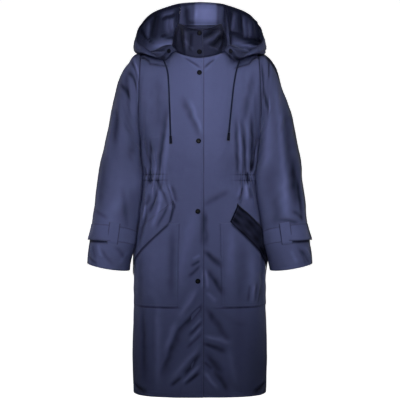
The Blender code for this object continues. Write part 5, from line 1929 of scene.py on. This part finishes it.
# The sweep's profile, turned round the coat: distance from the middle and height.
SWEEP = ((0.0002, -1.42), (3.0, -1.42), (4.2, -1.40), (4.8, -1.15), (5.1, -0.5), (5.2, 0.6), (5.2, 3.5))
places = np.linspace(0, len(SWEEP) - 1, SWEEP_RINGS)
reach, rise = (listed_at([row[k] for row in SWEEP], places)[:, None] for k in (0, 1))
round_turn = np.linspace(0, 2 * np.pi, SWEEP_SIDES, endpoint=False)[None]
points = np.stack(np.broadcast_arrays(reach * np.cos(round_turn), reach * np.sin(round_turn), rise), -1)
flat = np.broadcast_arrays(round_turn, rise)
floor = link(bpy.data.objects.new("sweep", grid_mesh("sweep", points, *flat, ring=True)))
paper = Finish("sweep paper")
floor.data.materials.append(
    paper.set(
        Base_Color=paper.blend(paper.noise(3.0), (0.80, 0.80, 0.80, 1), (0.82, 0.82, 0.82, 1)),
        Roughness=0.9,
        Emission_Color=(1, 1, 1, 1),
        Emission_Strength=1.0,
    )
)
floor.visible_diffuse = floor.visible_glossy = False

LIGHTS = (
    # name, place, aim, width, height, watts, spread in degrees
    ("top", (0.0, -0.70, 1.20), (0.0, 0.0, 0.0), 0.8, 0.5, 2.3, 120),
    ("top_side", (0.8, -0.80, 1.00), (0.0, 0.0, -0.10), 0.6, 0.6, 1.9, 100),
    ("side", (-1.6, -1.40, 0.10), (0.0, 0.0, -0.40), 0.6, 1.0, 1.7, 90),
    ("chest", (0.0, -2.10, 0.00), (0.0, 0.0, -0.15), 0.4, 0.4, 1.3, 28),
    ("skirt", (0.0, -2.10, -0.80), (0.0, 0.0, -0.92), 0.4, 0.4, 0.3, 28),
    ("hood", (0.0, -1.40, 0.90), (0.0, 0.05, 0.12), 0.3, 0.3, 0.25, 16),
    ("behind", (0.0, 2.6, 0.50), (0.0, 0.0, -0.45), 1.8, 1.6, 26.0, 90),
    ("behind_right", (-2.4, 1.6, 0.10), (0.0, 0.0, -0.50), 1.0, 1.6, 2.4, 90),
    ("behind_left", (2.4, 1.6, 0.10), (0.0, 0.0, -0.50), 1.0, 1.6, 2.4, 90),
    ("cuff_right", (-0.75, -1.70, -0.40), (-0.27, -0.06, -0.60), 0.3, 0.3, 0.35, 20),
    ("cuff_left", (0.75, -1.70, -0.40), (0.27, -0.06, -0.60), 0.3, 0.3, 0.35, 20),
)
for name, place, aim, width, height, watts, spread in LIGHTS:
    data = bpy.data.lights.new(name, "AREA")
    data.shape, data.size, data.size_y, data.energy = "RECTANGLE", width, height, watts
    data.spread = math.radians(spread)
    lamp = bpy.data.objects.new(name, data)
    lamp.location = place
    lamp.visible_camera = False
    lamp.rotation_euler = (Vector(aim) - Vector(place)).to_track_quat("-Z", "Y").to_euler()
    bpy.context.scene.collection.objects.link(lamp)
world = bpy.data.worlds.new("world")
world.use_nodes = True
world.node_tree.nodes["Background"].inputs["Color"].default_value = (0.006, 0.007, 0.010, 1)
world.node_tree.nodes["Background"].inputs["Strength"].default_value = 1.0
bpy.context.scene.world = world
bpy.context.scene.view_settings.view_transform = "Standard"
